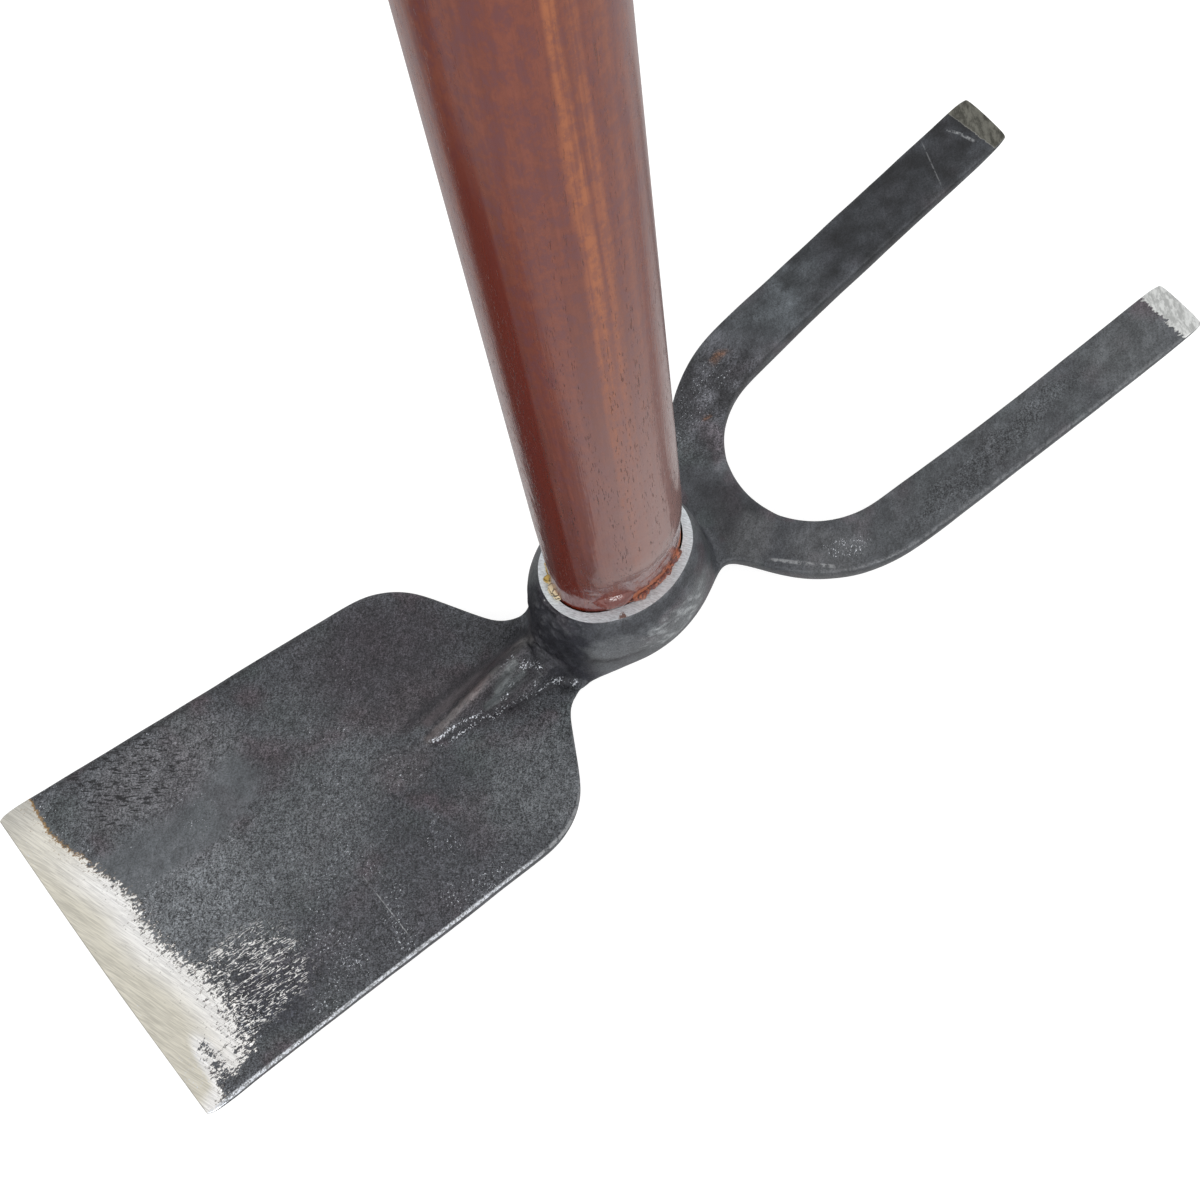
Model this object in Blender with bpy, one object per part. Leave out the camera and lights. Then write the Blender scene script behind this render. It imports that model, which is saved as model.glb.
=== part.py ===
"""Garden hoe with a blade and a two-tine fork, forged in one head on a wooden handle.

The head is one cage of quads, smoothed by a Subdivision Surface: an oval eye, a blade that
leaves it on one side with a rib running out on top, and a fork that leaves it on the other.
The handle's tenon fills the eye and is spread from below by a wooden and a steel wedge.
The tool stands upright: +Z runs up the handle, -X is the blade and +X is the fork, and the
origin is on the handle's axis at the foot of the eye. Sizes are in millimetres.
"""
import math

import bmesh
import bpy

MM = 0.001
FIT_GAP = 0.3

# The whole tool
TOOL_HEIGHT = 1200.0
HEAD_REACH = 124.6

# Eye: half axes along X and Y, and heights above the eye's foot
EYE_HEIGHT = 28.0
BORE = (14.6, 10.6)
BORE_FOOT = (14.0, 9.9)
RIM = (16.3, 13.1)
FOOT = (15.6, 12.3)
# The barrel's rows, and how far each leans towards the fork
EYE_ROWS = ((16.9, 13.7, 27.0, 0.0), (19.1, 15.9, 22.0, -0.7), (20.0, 16.3, 16.0, -0.1),
            (18.9, 15.4, 8.0, 1.0), (17.0, 13.5, 2.2, 1.0))
# Degrees from an arm's middle to the columns of points under it, and to those of the free wall
ARM_COLUMNS = (0.0, 17.0, 33.0, 46.0)
WALL_COLUMN = 68.0
COLUMN_STEP = 18.0
# Heights on the wall at the columns of each arm: its top, its middle and its underside
ARM_ROWS = (3, 4, 5)
BLADE_ROOT_HEIGHTS = ((19.6, 10.8, 7.2, 8.2), (3.6, 3.5, 3.4, 3.6), (1.0, 1.0, 1.0, 1.1))
FORK_ROOT_HEIGHTS = ((10.6, 10.4, 10.0, 10.4), (4.7, 4.6, 4.5, 4.6), (1.0, 1.0, 1.0, 1.1))

# Blade
BLADE_RISE = 0.187
BLADE_MIDDLE = 75.0
BLADE_MIDDLE_HEIGHT = 15.9
BLADE_ROOT_THICKNESS = 5.0
SHOULDER_THICKNESS = 3.9
BEVEL_THICKNESS = 2.6
CUTTING_EDGE = 0.5
CUTTING_EDGE_HEIGHT = 24.4
NECK_X = 17.6
NECK_HALF_WIDTH = 10.3
NECK_FILLET = 8.8
SHOULDER_RADIUS = 16.0
SHOULDER_HALF_WIDTH = 33.8
SHOULDER_X = 45.5
SHOULDER_SLOPE = 60.0
CURVE_STEP = 15.0
BLADE_STATIONS = (51.5, 58.0, 72.0, 88.0, 102.0, 113.0)
SIDE_FLARE = 0.030
BEVEL_X = 113.0
# Reach, thickness, bow and half width lost at the corners of the ground end's sections
BEVEL_STATIONS = ((118.5, 1.7, 0.0, 0.0), (HEAD_REACH - 1.0, 0.8, 0.4, 0.0),
                  (HEAD_REACH, CUTTING_EDGE, 0.4, 0.7))
RIB_TIP_X = 51.5
RIB_LENGTH = 32.0
RIB_HEIGHT = 12.5
RIB_HALF_WIDTH = 7.4
RIB_TIP_HALF_WIDTH = 1.6
RIB_SECTIONS = 11
RIB_FADE_RUN = 40.0
CREST_CREASE = 0.75
FLANK_CREASE = 0.55
EDGE_ROUNDING = 1.0
NECK_BOW = 4.5
NECK_TUCK = 3.4
BLADE_TUCK = 0.3
SIDE_TUCK = 0.4

# Fork
FORK_RISE = 0.1175
FORK_TIP_HEIGHT = 20.1
CROTCH_RADIUS = 19.6
CROTCH_X = 53.0
YOKE_RADIUS = 32.7
YOKE_X = 54.5
YOKE_STEP = 12.0
YOKE_BACK_X = 33.0
YOKE_THICKNESS = 7.2
TINE_TIP_THICKNESS = 3.0
THINNING = 1.3
# The hammer left the two tines a little unlike: sides and reach of the +Y and the -Y one
TIP_OUTER = {1: 36.2, -1: 36.4}
TIP_INNER = {1: 22.8, -1: 23.5}
TINE_REACH = {1: 125.7, -1: 124.5}
OUTER_FLARE = 0.8
INNER_FLARE = 0.6
BAR_ROUNDING = 1.5
BAR_TUCK = (1.7, 0.5)
# Distance behind the tip, edge rounding, thickness, drop of the top, bow and narrowing
TINE_STATIONS = ((54.0, 1.5, None, 0.0, 0.0, 0.0), (35.0, 1.5, None, 0.0, 0.0, 0.0),
                 (17.0, 1.3, None, 0.0, 0.0, 0.0), (6.0, 1.2, None, 0.0, 0.0, 0.0),
                 (1.6, 1.2, 1.6, 0.2, 0.4, 0.0), (0.0, 1.2, 0.9, 0.4, 0.5, 0.4))
# Reach of the edges, half width and bow of the trunk between the eye and the yoke
TRUNK_STATIONS = ((17.6, 9.4, 3.8), (21.5, 8.8, 1.4))
TRUNK_COLUMNS = (0.0, 0.48, 0.87, 1.0)
TRUNK_BOTTOM = 1.0
TRUNK_TUCK = 2.0
# Degrees round the yoke: where the trunk joins it, and the free part as far as the tine
ROOT_ANGLES = (0.0, 12.0, 23.0, 27.0)
ROOT_HOLLOW = 1.2
YOKE_ANGLES = (38.0, 51.0, 64.0, 77.0, 90.0)

# Handle
HANDLE_RADIUS = 14.0
HANDLE_SIDES = 40
TENON = (BORE[0] - FIT_GAP, BORE[1] - FIT_GAP)
TENON_FOOT = (BORE_FOOT[0] - FIT_GAP, BORE_FOOT[1] - FIT_GAP)
TENON_RECESS = 0.5
TENON_TOP = EYE_HEIGHT + 0.8
SHOULDER_RUN = 26.0
SHOULDER_SECTIONS = 6
SWELL_RADIUS = 14.2
SWELL_HEIGHT = 100.0
STRAIGHT_HEIGHTS = (200.0, 450.0, 750.0)
BUTT_ROUNDING = 6.0
BUTT_SECTIONS = 4

# Wedges: length, thickness at the foot and at the tip, and depth
WOOD_WEDGE = (20.0, 3.6, 1.2, 20.0)
STEEL_WEDGE = (13.0, 2.6, 0.8, 13.0)
SLOT_OVERRUN = 5.0

SHARP_ANGLE = 40.0


def cage_radius(radius, step):
    """Smoothing pulls a ring of points inwards, so the cage's ring starts a little larger."""
    return radius * 3 / (2 + math.cos(math.radians(step)))


def blend(start, end, share):
    return start + (end - start) * min(max(share, 0.0), 1.0)


def point(bm, x, y, z):
    return bm.verts.new((x * MM, y * MM, z * MM))


def skin(bm, rings):
    """Join each closed ring of points to the next with a band of quads."""
    for near, far in zip(rings, rings[1:]):
        for i in range(len(near)):
            j = (i + 1) % len(near)
            bm.faces.new((near[i], near[j], far[j], far[i]))


def crease(bm, ends, amount):
    """Hold the edges between these pairs of points sharp against the smoothing."""
    layer = bm.edges.layers.float.get("crease_edge") or bm.edges.layers.float.new("crease_edge")
    for a, b in ends:
        bm.edges.get((a, b))[layer] = amount


def crease_ring(bm, ring, amount):
    crease(bm, zip(ring, ring[1:] + ring[:1]), amount)


# Eye
def eye_columns():
    """Angles round the eye: close together where an arm leaves, wider on the free walls."""
    quarter = list(ARM_COLUMNS) + [WALL_COLUMN]
    half = quarter + [90.0] + [180.0 - a for a in reversed(quarter)]
    return half + [180.0 + a for a in half[1:-1]]


def degrees_from_arm(angle):
    return min(angle, 360 - angle, abs(angle - 180))


def wall_height(row, height, angle):
    """A row keeps its height on the free wall, and meets the arm's root at its columns."""
    from_arm = degrees_from_arm(angle)
    if row not in ARM_ROWS or from_arm not in ARM_COLUMNS:
        return height
    heights = BLADE_ROOT_HEIGHTS if 90 < angle < 270 else FORK_ROOT_HEIGHTS
    return heights[ARM_ROWS.index(row)][ARM_COLUMNS.index(from_arm)]


def oval_ring(bm, half_axes, height, row=0, lean=0.0):
    ring = []
    for angle in eye_columns():
        turn = math.radians(angle)
        half_x, half_y = (cage_radius(half, COLUMN_STEP) for half in half_axes)
        z = wall_height(row, height, angle)
        ring.append(point(bm, half_x * math.cos(turn) + lean, half_y * math.sin(turn), z))
    return ring


def arm_loop(rows, opposite):
    """The sixteen points round the opening that an arm grows from, top centre first."""
    columns = eye_columns()

    def column(row, angle):
        turned = 180 - angle if opposite else angle
        return row[columns.index(turned % 360)]

    top, middle, bottom = rows
    edge = ARM_COLUMNS[-1]
    plus = [column(top, a) for a in ARM_COLUMNS] + [column(middle, edge)]
    under = [column(bottom, a) for a in reversed(ARM_COLUMNS)]
    under += [column(bottom, -a) for a in ARM_COLUMNS[1:]]
    minus = [column(middle, -edge)] + [column(top, -a) for a in reversed(ARM_COLUMNS[1:])]
    return plus + under + minus


def build_eye(bm):
    """The barrel and its bore, open where the arms join; returns the rows round the openings."""
    outer = [oval_ring(bm, RIM, EYE_HEIGHT)]
    for row, (half_x, half_y, height, lean) in enumerate(EYE_ROWS, start=1):
        outer.append(oval_ring(bm, (half_x, half_y), height, row, lean))
    outer.append(oval_ring(bm, FOOT, 0.0))
    half_way = tuple((top + foot) / 2 for top, foot in zip(BORE, BORE_FOOT))
    bore_rows = ((BORE_FOOT, 0.0), (half_way, EYE_HEIGHT / 2), (BORE, EYE_HEIGHT))
    bore = [oval_ring(bm, half_axes, height) for half_axes, height in bore_rows]
    columns = eye_columns()
    for row, (near, far) in enumerate(zip(outer, outer[1:])):
        for i, angle in enumerate(columns):
            j = (i + 1) % len(columns)
            middle = (angle + (columns[j] or 360)) / 2
            under_arm = degrees_from_arm(middle) < ARM_COLUMNS[-1]
            if row in ARM_ROWS[:2] and under_arm:
                continue
            bm.faces.new((near[i], near[j], far[j], far[i]))
    skin(bm, [outer[-1]] + bore + [outer[0]])
    for ring in (outer[0], outer[-1], bore[0], bore[-1]):
        crease_ring(bm, ring, 1.0)
    return [outer[row] for row in ARM_ROWS]


def arm_section(bm, sign, reach, halves, tops, bottom, bow, tuck=0.0):
    """A ring of sixteen points across an arm: half widths and top heights, centre first.

    The centre stands further out than the edges by the bow, and the underside is narrower
    than the top by the tuck on each side.
    """
    edge = halves[-1]
    side = edge - SIDE_TUCK * tuck
    middle = (tops[-1] + bottom) / 2
    under_halves = [y - tuck * y / edge for y in halves]

    def place(y, z):
        bulge = bow * (1 - (y / edge) ** 2)
        return point(bm, sign * (reach + bulge), y, z)

    plus = [place(y, z) for y, z in zip(halves, tops)] + [place(side, middle)]
    under = [place(y, bottom) for y in reversed(under_halves)]
    under += [place(-y, bottom) for y in under_halves[1:]]
    minus = [place(-side, middle)] + [place(-y, z) for y, z in list(zip(halves, tops))[:0:-1]]
    return plus + under + minus


def cap_arm(bm, ring):
    """Close an arm's last section with faces that run from its top to its underside."""
    plus = ((0, 1, 7, 8), (1, 2, 6, 7), (2, 3, 4, 5, 6))
    minus = ((0, 8, 9, 15), (15, 9, 10, 14), (14, 10, 11, 12, 13))
    for corners in plus + minus:
        bm.faces.new([ring[i] for i in corners])


# Blade
def blade_top(reach):
    return BLADE_MIDDLE_HEIGHT + BLADE_RISE * (reach - BLADE_MIDDLE)


def blade_half_width(reach):
    return SHOULDER_HALF_WIDTH + SIDE_FLARE * (reach - SHOULDER_X)


def blade_thickness(reach):
    if reach < SHOULDER_X:
        return blend(BLADE_ROOT_THICKNESS, SHOULDER_THICKNESS, (reach - NECK_X) / (SHOULDER_X - NECK_X))
    return blend(SHOULDER_THICKNESS, BEVEL_THICKNESS, (reach - SHOULDER_X) / (BEVEL_X - SHOULDER_X))


def blade_outline():
    """Reach and half width of the blade's sections, from the neck to the ground bevel."""
    outline = []
    fillet = cage_radius(NECK_FILLET, CURVE_STEP)
    for step in range(4):
        turn = math.radians(SHOULDER_SLOPE * step / 3)
        outline.append((NECK_X + fillet * math.sin(turn), NECK_HALF_WIDTH + fillet * (1 - math.cos(turn))))
    shoulder = cage_radius(SHOULDER_RADIUS, CURVE_STEP)
    for step in range(4, -1, -1):
        turn = math.radians(SHOULDER_SLOPE * step / 4)
        half = SHOULDER_HALF_WIDTH - shoulder * (1 - math.cos(turn))
        outline.append((SHOULDER_X - shoulder * math.sin(turn), half))
    return outline + [(reach, blade_half_width(reach)) for reach in BLADE_STATIONS]


def blade_section(bm, reach, half, bow):
    """A section with the rib on top: its crest falls straight to the tip, its foot narrows."""
    rib_share = max((RIB_TIP_X - reach) / RIB_LENGTH, 0.0)
    fade = blend(RIB_TIP_HALF_WIDTH, half / 3, (reach - RIB_TIP_X) / RIB_FADE_RUN)
    foot = max(RIB_HALF_WIDTH * rib_share ** 0.75, fade)
    crest_share = max((RIB_TIP_X - reach - bow) / RIB_LENGTH, 0.0)
    crest = blade_top(reach + bow) + RIB_HEIGHT * crest_share
    halves = (0.0, min(foot, half - 2 * EDGE_ROUNDING), half - EDGE_ROUNDING, half)
    top = blade_top(reach)
    tuck = blend(NECK_TUCK, BLADE_TUCK, (reach - NECK_X) / (SHOULDER_X - NECK_X))
    return arm_section(bm, -1, reach, halves, (crest, top, top, top), top - blade_thickness(reach), bow, tuck)


def build_blade(bm, root):
    sections = [root]
    for index, (reach, half) in enumerate(blade_outline()):
        sections.append(blade_section(bm, reach, half, max(NECK_BOW - index, 0.0)))
    bevel_start = sections[-1]
    for reach, thickness, bow, corner in BEVEL_STATIONS:
        share = (reach - BEVEL_X) / (HEAD_REACH - BEVEL_X)
        top = blend(blade_top(BEVEL_X), CUTTING_EDGE_HEIGHT, share)
        half = blade_half_width(HEAD_REACH) - corner
        halves = (0.0, half / 3, half - EDGE_ROUNDING, half)
        sections.append(arm_section(bm, -1, reach, halves, (top,) * 4, top - thickness, bow))
    skin(bm, sections)
    cap_arm(bm, sections[-1])
    crease_ring(bm, sections[-1], 1.0)
    crease_ring(bm, bevel_start, 0.6)
    rib = sections[1:RIB_SECTIONS]
    for index, (near, far) in enumerate(zip(rib, rib[1:])):
        fade = 1 - index / RIB_SECTIONS
        crease(bm, [(near[0], far[0])], CREST_CREASE * fade)
        crease(bm, [(near[1], far[1]), (near[-1], far[-1])], FLANK_CREASE * fade)


# Fork
def fork_top(x):
    return FORK_TIP_HEIGHT + FORK_RISE * (x - HEAD_REACH)


def fork_thickness(x):
    share = max(x - YOKE_BACK_X, 0.0) / (HEAD_REACH - YOKE_BACK_X)
    return YOKE_THICKNESS - (YOKE_THICKNESS - TINE_TIP_THICKNESS) * share ** THINNING


def bar_section(bm, outer, inner, rounding=BAR_ROUNDING, thickness=None, drop=0.0, bow=0.0):
    """A ring of ten points across the fork's bar, from its outer to its inner side.

    The underside is tucked in, as the hammer leaves it, and a tip's middle bows outwards.
    """
    span = math.dist(outer, inner)
    across = [(i - o) / span for o, i in zip(outer, inner)]
    depth = thickness or fork_thickness(outer[0])
    tuck_outer, tuck_inner = (tuck * depth / YOKE_THICKNESS for tuck in BAR_TUCK)

    def spot(step, down, push=0.0):
        x, y = (o + a * step for o, a in zip(outer, across))
        return point(bm, x + push, y, fork_top(x) - drop - down)

    top = [spot(0, 0), spot(rounding, 0, bow), spot(span - rounding, 0, bow), spot(span, 0)]
    inner_side = [spot(span, depth / 2)]
    under = [spot(span - tuck_inner, depth), spot(span - tuck_inner - rounding, depth, bow),
             spot(tuck_outer + rounding, depth, bow), spot(tuck_outer, depth)]
    outer_side = [spot(0.2 * tuck_outer, depth / 2)]
    return top + inner_side + under + outer_side


def yoke_point(radius, centre_x, angle, side):
    turn = math.radians(angle)
    grown = cage_radius(radius, YOKE_STEP)
    return (centre_x - grown * math.cos(turn), side * grown * math.sin(turn))


def half_fork(bm, side):
    """Sections of the bar from the crotch's middle round the yoke to the tip of one tine."""
    sections = []
    corner_x, corner_y = yoke_point(YOKE_RADIUS, YOKE_X, ROOT_ANGLES[-1], side)
    for angle in ROOT_ANGLES:
        share = angle / ROOT_ANGLES[-1]
        outer = (corner_x - ROOT_HOLLOW * (1 - share), corner_y * share)
        sections.append(bar_section(bm, outer, yoke_point(CROTCH_RADIUS, CROTCH_X, angle, side)))
    for angle in YOKE_ANGLES:
        outer = yoke_point(YOKE_RADIUS, YOKE_X, angle, side)
        sections.append(bar_section(bm, outer, yoke_point(CROTCH_RADIUS, CROTCH_X, angle, side)))
    for behind_tip, rounding, thickness, drop, bow, narrowing in TINE_STATIONS:
        x = TINE_REACH[side] - behind_tip
        share = (x - YOKE_X) / (TINE_REACH[side] - YOKE_X)
        outer = (x, side * (blend(YOKE_RADIUS, TIP_OUTER[side], share ** OUTER_FLARE) - narrowing))
        inner = (x, side * (blend(CROTCH_RADIUS, TIP_INNER[side], share ** INNER_FLARE) + narrowing))
        sections.append(bar_section(bm, outer, inner, rounding, thickness, drop, bow))
    return sections


def build_fork(bm, root):
    """One bar from tip to tip, whose outer side opens at the crotch's back for the trunk.

    Both halves share the middle section; the spare one is loose and finish() removes it.
    """
    plus = half_fork(bm, 1)
    minus = half_fork(bm, -1)
    minus[0] = plus[0]
    reach = len(ROOT_ANGLES) - 1
    for half, turned in ((plus, False), (minus, True)):
        for number, (near, far) in enumerate(zip(half, half[1:])):
            for i in range(len(near)):
                if number < reach and i in (8, 9):
                    continue
                j = (i + 1) % len(near)
                corners = (near[i], near[j], far[j], far[i])
                bm.faces.new(corners[::-1] if turned else corners)
        bm.faces.new(half[-1])
        crease_ring(bm, half[-1], 1.0)
    opening = [ring[0] for ring in plus[:reach + 1]] + [plus[reach][9]]
    opening += [ring[8] for ring in reversed(plus[:reach + 1])]
    opening += [ring[8] for ring in minus[1:reach + 1]] + [minus[reach][9]]
    opening += [ring[0] for ring in reversed(minus[1:reach + 1])]
    trunk = []
    for x, half, bow in TRUNK_STATIONS:
        halves = [half * column for column in TRUNK_COLUMNS]
        trunk.append(arm_section(bm, 1, x, halves, (fork_top(x),) * 4, TRUNK_BOTTOM, bow, TRUNK_TUCK))
    skin(bm, [root] + trunk + [opening])


def material(name, colour, metallic, roughness):
    made = bpy.data.materials.new(name)
    made.use_nodes = True
    shader = made.node_tree.nodes["Principled BSDF"]
    shader.inputs["Base Color"].default_value = colour + (1.0,)
    shader.inputs["Metallic"].default_value = metallic
    shader.inputs["Roughness"].default_value = roughness
    return made


def finish(bm, name, surface):
    """Make an object of the mesh, smooth but for its sharp edges."""
    loose = [v for v in bm.verts if not v.link_faces]
    bmesh.ops.delete(bm, geom=loose, context="VERTS")
    bmesh.ops.recalc_face_normals(bm, faces=bm.faces)
    mesh = bpy.data.meshes.new(name)
    bm.to_mesh(mesh)
    bm.free()
    mesh.materials.append(surface)
    mesh.shade_smooth()
    mesh.set_sharp_from_angle(angle=math.radians(SHARP_ANGLE))
    item = bpy.data.objects.new(name, mesh)
    bpy.context.scene.collection.objects.link(item)
    return item


def make_head():
    bm = bmesh.new()
    roots = build_eye(bm)
    build_blade(bm, arm_loop(roots, opposite=True))
    build_fork(bm, arm_loop(roots, opposite=False))
    head = finish(bm, "hoe_head", material("forged_steel", (0.060, 0.062, 0.068), 0.75, 0.42))
    smooth = head.modifiers.new("Forged rounding", "SUBSURF")
    smooth.levels = 1
    smooth.render_levels = 1


# Handle
def handle_section(bm, half_x, half_y, height):
    ring = []
    for i in range(HANDLE_SIDES):
        turn = math.tau * i / HANDLE_SIDES
        ring.append(point(bm, half_x * math.cos(turn), half_y * math.sin(turn), height))
    return ring


def handle_outline():
    """Half axes and heights: the oval tenon, its shoulder, the round shaft and the butt."""
    outline = [TENON_FOOT + (TENON_RECESS,), TENON + (TENON_TOP,)]
    for step in range(1, SHOULDER_SECTIONS + 1):
        share = step / SHOULDER_SECTIONS
        ease = share * share * (3 - 2 * share)
        half_x, half_y = (blend(half, HANDLE_RADIUS, ease) for half in TENON)
        outline.append((half_x, half_y, TENON_TOP + SHOULDER_RUN * share))
    outline.append((SWELL_RADIUS, SWELL_RADIUS, SWELL_HEIGHT))
    outline += [(HANDLE_RADIUS, HANDLE_RADIUS, height) for height in STRAIGHT_HEIGHTS]
    for step in range(BUTT_SECTIONS + 1):
        turn = math.pi / 2 * step / BUTT_SECTIONS
        radius = HANDLE_RADIUS - BUTT_ROUNDING * (1 - math.cos(turn))
        outline.append((radius, radius, TOOL_HEIGHT - BUTT_ROUNDING * (1 - math.sin(turn))))
    return outline


def make_handle(cutters):
    bm = bmesh.new()
    rings = [handle_section(bm, *station) for station in handle_outline()]
    skin(bm, rings)
    bm.faces.new(rings[0])
    bm.faces.new(rings[-1])
    handle = finish(bm, "handle", material("varnished_wood", (0.190, 0.052, 0.028), 0.0, 0.28))
    for cutter in cutters:
        cut_with(handle, cutter)


# Wedges
def make_wedge(name, size, along_x, surface, grow=0.0):
    """A driven wedge, thickest at the eye's foot; a slot is the same shape, grown all round."""
    length, thick, thin, depth = size
    foot = TENON_RECESS - (SLOT_OVERRUN if grow else 0.0)
    slope = (thick - thin) / depth
    bm = bmesh.new()
    rings = []
    for z in (foot, TENON_RECESS + depth + grow):
        half_thick = (thick - slope * (z - TENON_RECESS)) / 2 + grow
        half_long = length / 2 + grow
        half_x, half_y = (half_long, half_thick) if along_x else (half_thick, half_long)
        corners = ((1, 1), (-1, 1), (-1, -1), (1, -1))
        rings.append([point(bm, sx * half_x, sy * half_y, z) for sx, sy in corners])
    skin(bm, rings)
    bm.faces.new(rings[0])
    bm.faces.new(rings[1])
    return finish(bm, name, surface)


def make_slot(name, size, along_x, surface):
    slot = make_wedge(name, size, along_x, surface, FIT_GAP)
    slot.hide_render = True
    slot.display_type = "WIRE"
    return slot


def cut_with(item, cutter):
    cut = item.modifiers.new("Wedge slot", "BOOLEAN")
    cut.object = cutter
    cut.solver = "EXACT"


def make_wedges():
    """The wooden wedge runs along the eye, and the steel one crosses it."""
    wood = material("wedge_wood", (0.42, 0.27, 0.14), 0.0, 0.7)
    steel = material("wedge_steel", (0.30, 0.30, 0.31), 1.0, 0.4)
    wooden = make_wedge("wooden_wedge", WOOD_WEDGE, True, wood)
    make_wedge("steel_wedge", STEEL_WEDGE, False, steel)
    wood_slot = make_slot("wood_slot", WOOD_WEDGE, True, wood)
    steel_slot = make_slot("steel_slot", STEEL_WEDGE, False, steel)
    cut_with(wooden, steel_slot)
    return wood_slot, steel_slot


for old in list(bpy.data.objects):
    bpy.data.objects.remove(old)
make_head()
make_handle(make_wedges())
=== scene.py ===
import math

import bmesh
import bpy
import numpy as np
from mathutils import Matrix, Vector, noise


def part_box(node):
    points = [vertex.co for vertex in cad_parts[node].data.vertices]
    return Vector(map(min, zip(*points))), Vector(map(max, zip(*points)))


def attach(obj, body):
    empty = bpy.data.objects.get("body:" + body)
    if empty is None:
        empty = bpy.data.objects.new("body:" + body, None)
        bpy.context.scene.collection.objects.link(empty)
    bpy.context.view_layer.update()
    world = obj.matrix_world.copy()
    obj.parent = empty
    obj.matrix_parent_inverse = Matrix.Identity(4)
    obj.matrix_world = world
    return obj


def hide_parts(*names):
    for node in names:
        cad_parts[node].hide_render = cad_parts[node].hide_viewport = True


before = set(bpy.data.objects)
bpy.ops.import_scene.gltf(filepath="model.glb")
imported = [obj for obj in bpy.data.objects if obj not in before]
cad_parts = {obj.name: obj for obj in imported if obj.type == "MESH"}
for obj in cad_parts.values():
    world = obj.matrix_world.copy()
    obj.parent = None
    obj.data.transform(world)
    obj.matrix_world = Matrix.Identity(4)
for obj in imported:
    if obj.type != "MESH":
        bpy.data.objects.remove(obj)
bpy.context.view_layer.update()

# Studio
# A pale sheet lies on the floor under a white tent. The light is soft from every side, with
# one long softbox low in front that draws the bright lines along the forged edges.
FLOOR_HALF = 3.0
FLOOR_DROP = 0.0002
FLOOR_WHITE = 0.35
# How brightly the sheet glows to the camera, and to the tool
FLOOR_LIFT = 0.80
FLOOR_GLOW = 0.25
# Degrees round the eye between which the sheet is darkened for the tool's reflections, a painted
# shadow of the tool; the shadow's soft edge, in radians, and its depth
FLOOR_SHADOW = (127.0, 162.0)
SHADOW_EDGE = 0.06
SHADOW_DEPTH = 0.9
TENT_LIGHT = 0.92
TENT_WHITE = 1.0
# Where each softbox hangs, what it faces, its size, and its brightness
SOFTBOXES = {"front_softbox": ((-0.12, -0.90, 0.78), (-0.02, 0.0, 0.01), (0.70, 0.30), 8.0),
             "side_softbox": ((-1.2, 0.25, 0.9), (0.0, 0.0, 0.05), (0.5, 0.5), 3.0)}
CAMERA_PLACE = Vector((-0.07401, -0.13194, 0.38969))
CAMERA_TARGET = Vector((-0.00703, -0.00290, 0.02))
CAMERA_ROLL = -12.270
CAMERA_LENS = 60.10
CAMERA_SENSOR = 36.0
CAMERA_NEAR = 0.01


class Reading:
    """A value in a node tree; plain arithmetic on it places the nodes that work it out."""

    def __init__(self, socket):
        self.socket = socket
        self.tree = socket.id_data

    def beside(self, label):
        """Another output of the same node."""
        return Reading(self.socket.node.outputs[label])

    def __add__(self, other):
        return calc("ADD", self, other)

    def __sub__(self, other):
        return calc("SUBTRACT", self, other)

    def __rsub__(self, other):
        return calc("SUBTRACT", other, self)

    def __mul__(self, other):
        return calc("MULTIPLY", self, other)

    def __truediv__(self, other):
        return calc("DIVIDE", self, other)

    def __rtruediv__(self, other):
        return calc("DIVIDE", other, self)

    def __abs__(self):
        return calc("ABSOLUTE", self)


def feed(node, inputs):
    """Link a node's inputs to readings, or set them to plain values."""
    for label, value in dict(inputs).items():
        socket = node.inputs[label]
        if isinstance(value, Reading):
            node.id_data.links.new(value.socket, socket)
        elif socket.type == "RGBA":
            socket.default_value = (*value, 1.0)
        else:
            socket.default_value = value


def add(tree, kind, inputs=(), output=0, **settings):
    """Place a node, choose its settings, feed it, and read one of its outputs."""
    made = tree.nodes.new(kind)
    for setting, value in settings.items():
        setattr(made, setting, value)
    feed(made, inputs)
    return Reading(made.outputs[output])


def tree_of(*values):
    return next(value.tree for value in values if isinstance(value, Reading))


def calc(operation, *values):
    return add(tree_of(*values), "ShaderNodeMath", enumerate(values), operation=operation)


def scaled(vector, amount):
    """Multiply a point's place, or a colour's brightness."""
    return add(tree_of(vector, amount), "ShaderNodeVectorMath", {0: vector, "Scale": amount}, operation="SCALE")


def between(share, low, high):
    return add(share.tree, "ShaderNodeMix", {0: share, 2: low, 3: high}, data_type="FLOAT")


def ramp(value, start, end, low=0.0, high=1.0):
    """A smooth step from low, at start, to high, at end."""
    return add(value.tree, "ShaderNodeMapRange", {"Value": value, "From Min": start, "From Max": end,
                                                  "To Min": low, "To Max": high},
               interpolation_type="SMOOTHSTEP")


def split(vector, kind="XYZ"):
    """The three parts of a place or a colour."""
    first = add(vector.tree, "ShaderNodeSeparate" + kind, {0: vector})
    return first, first.beside(1), first.beside(2)


def new_material(name):
    made = bpy.data.materials.new(name)
    made.use_nodes = True
    return made, made.node_tree, made.node_tree.nodes["Principled BSDF"]


def link_into_scene(name, data):
    item = bpy.data.objects.new(name, data)
    bpy.context.scene.collection.objects.link(item)
    return item


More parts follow.
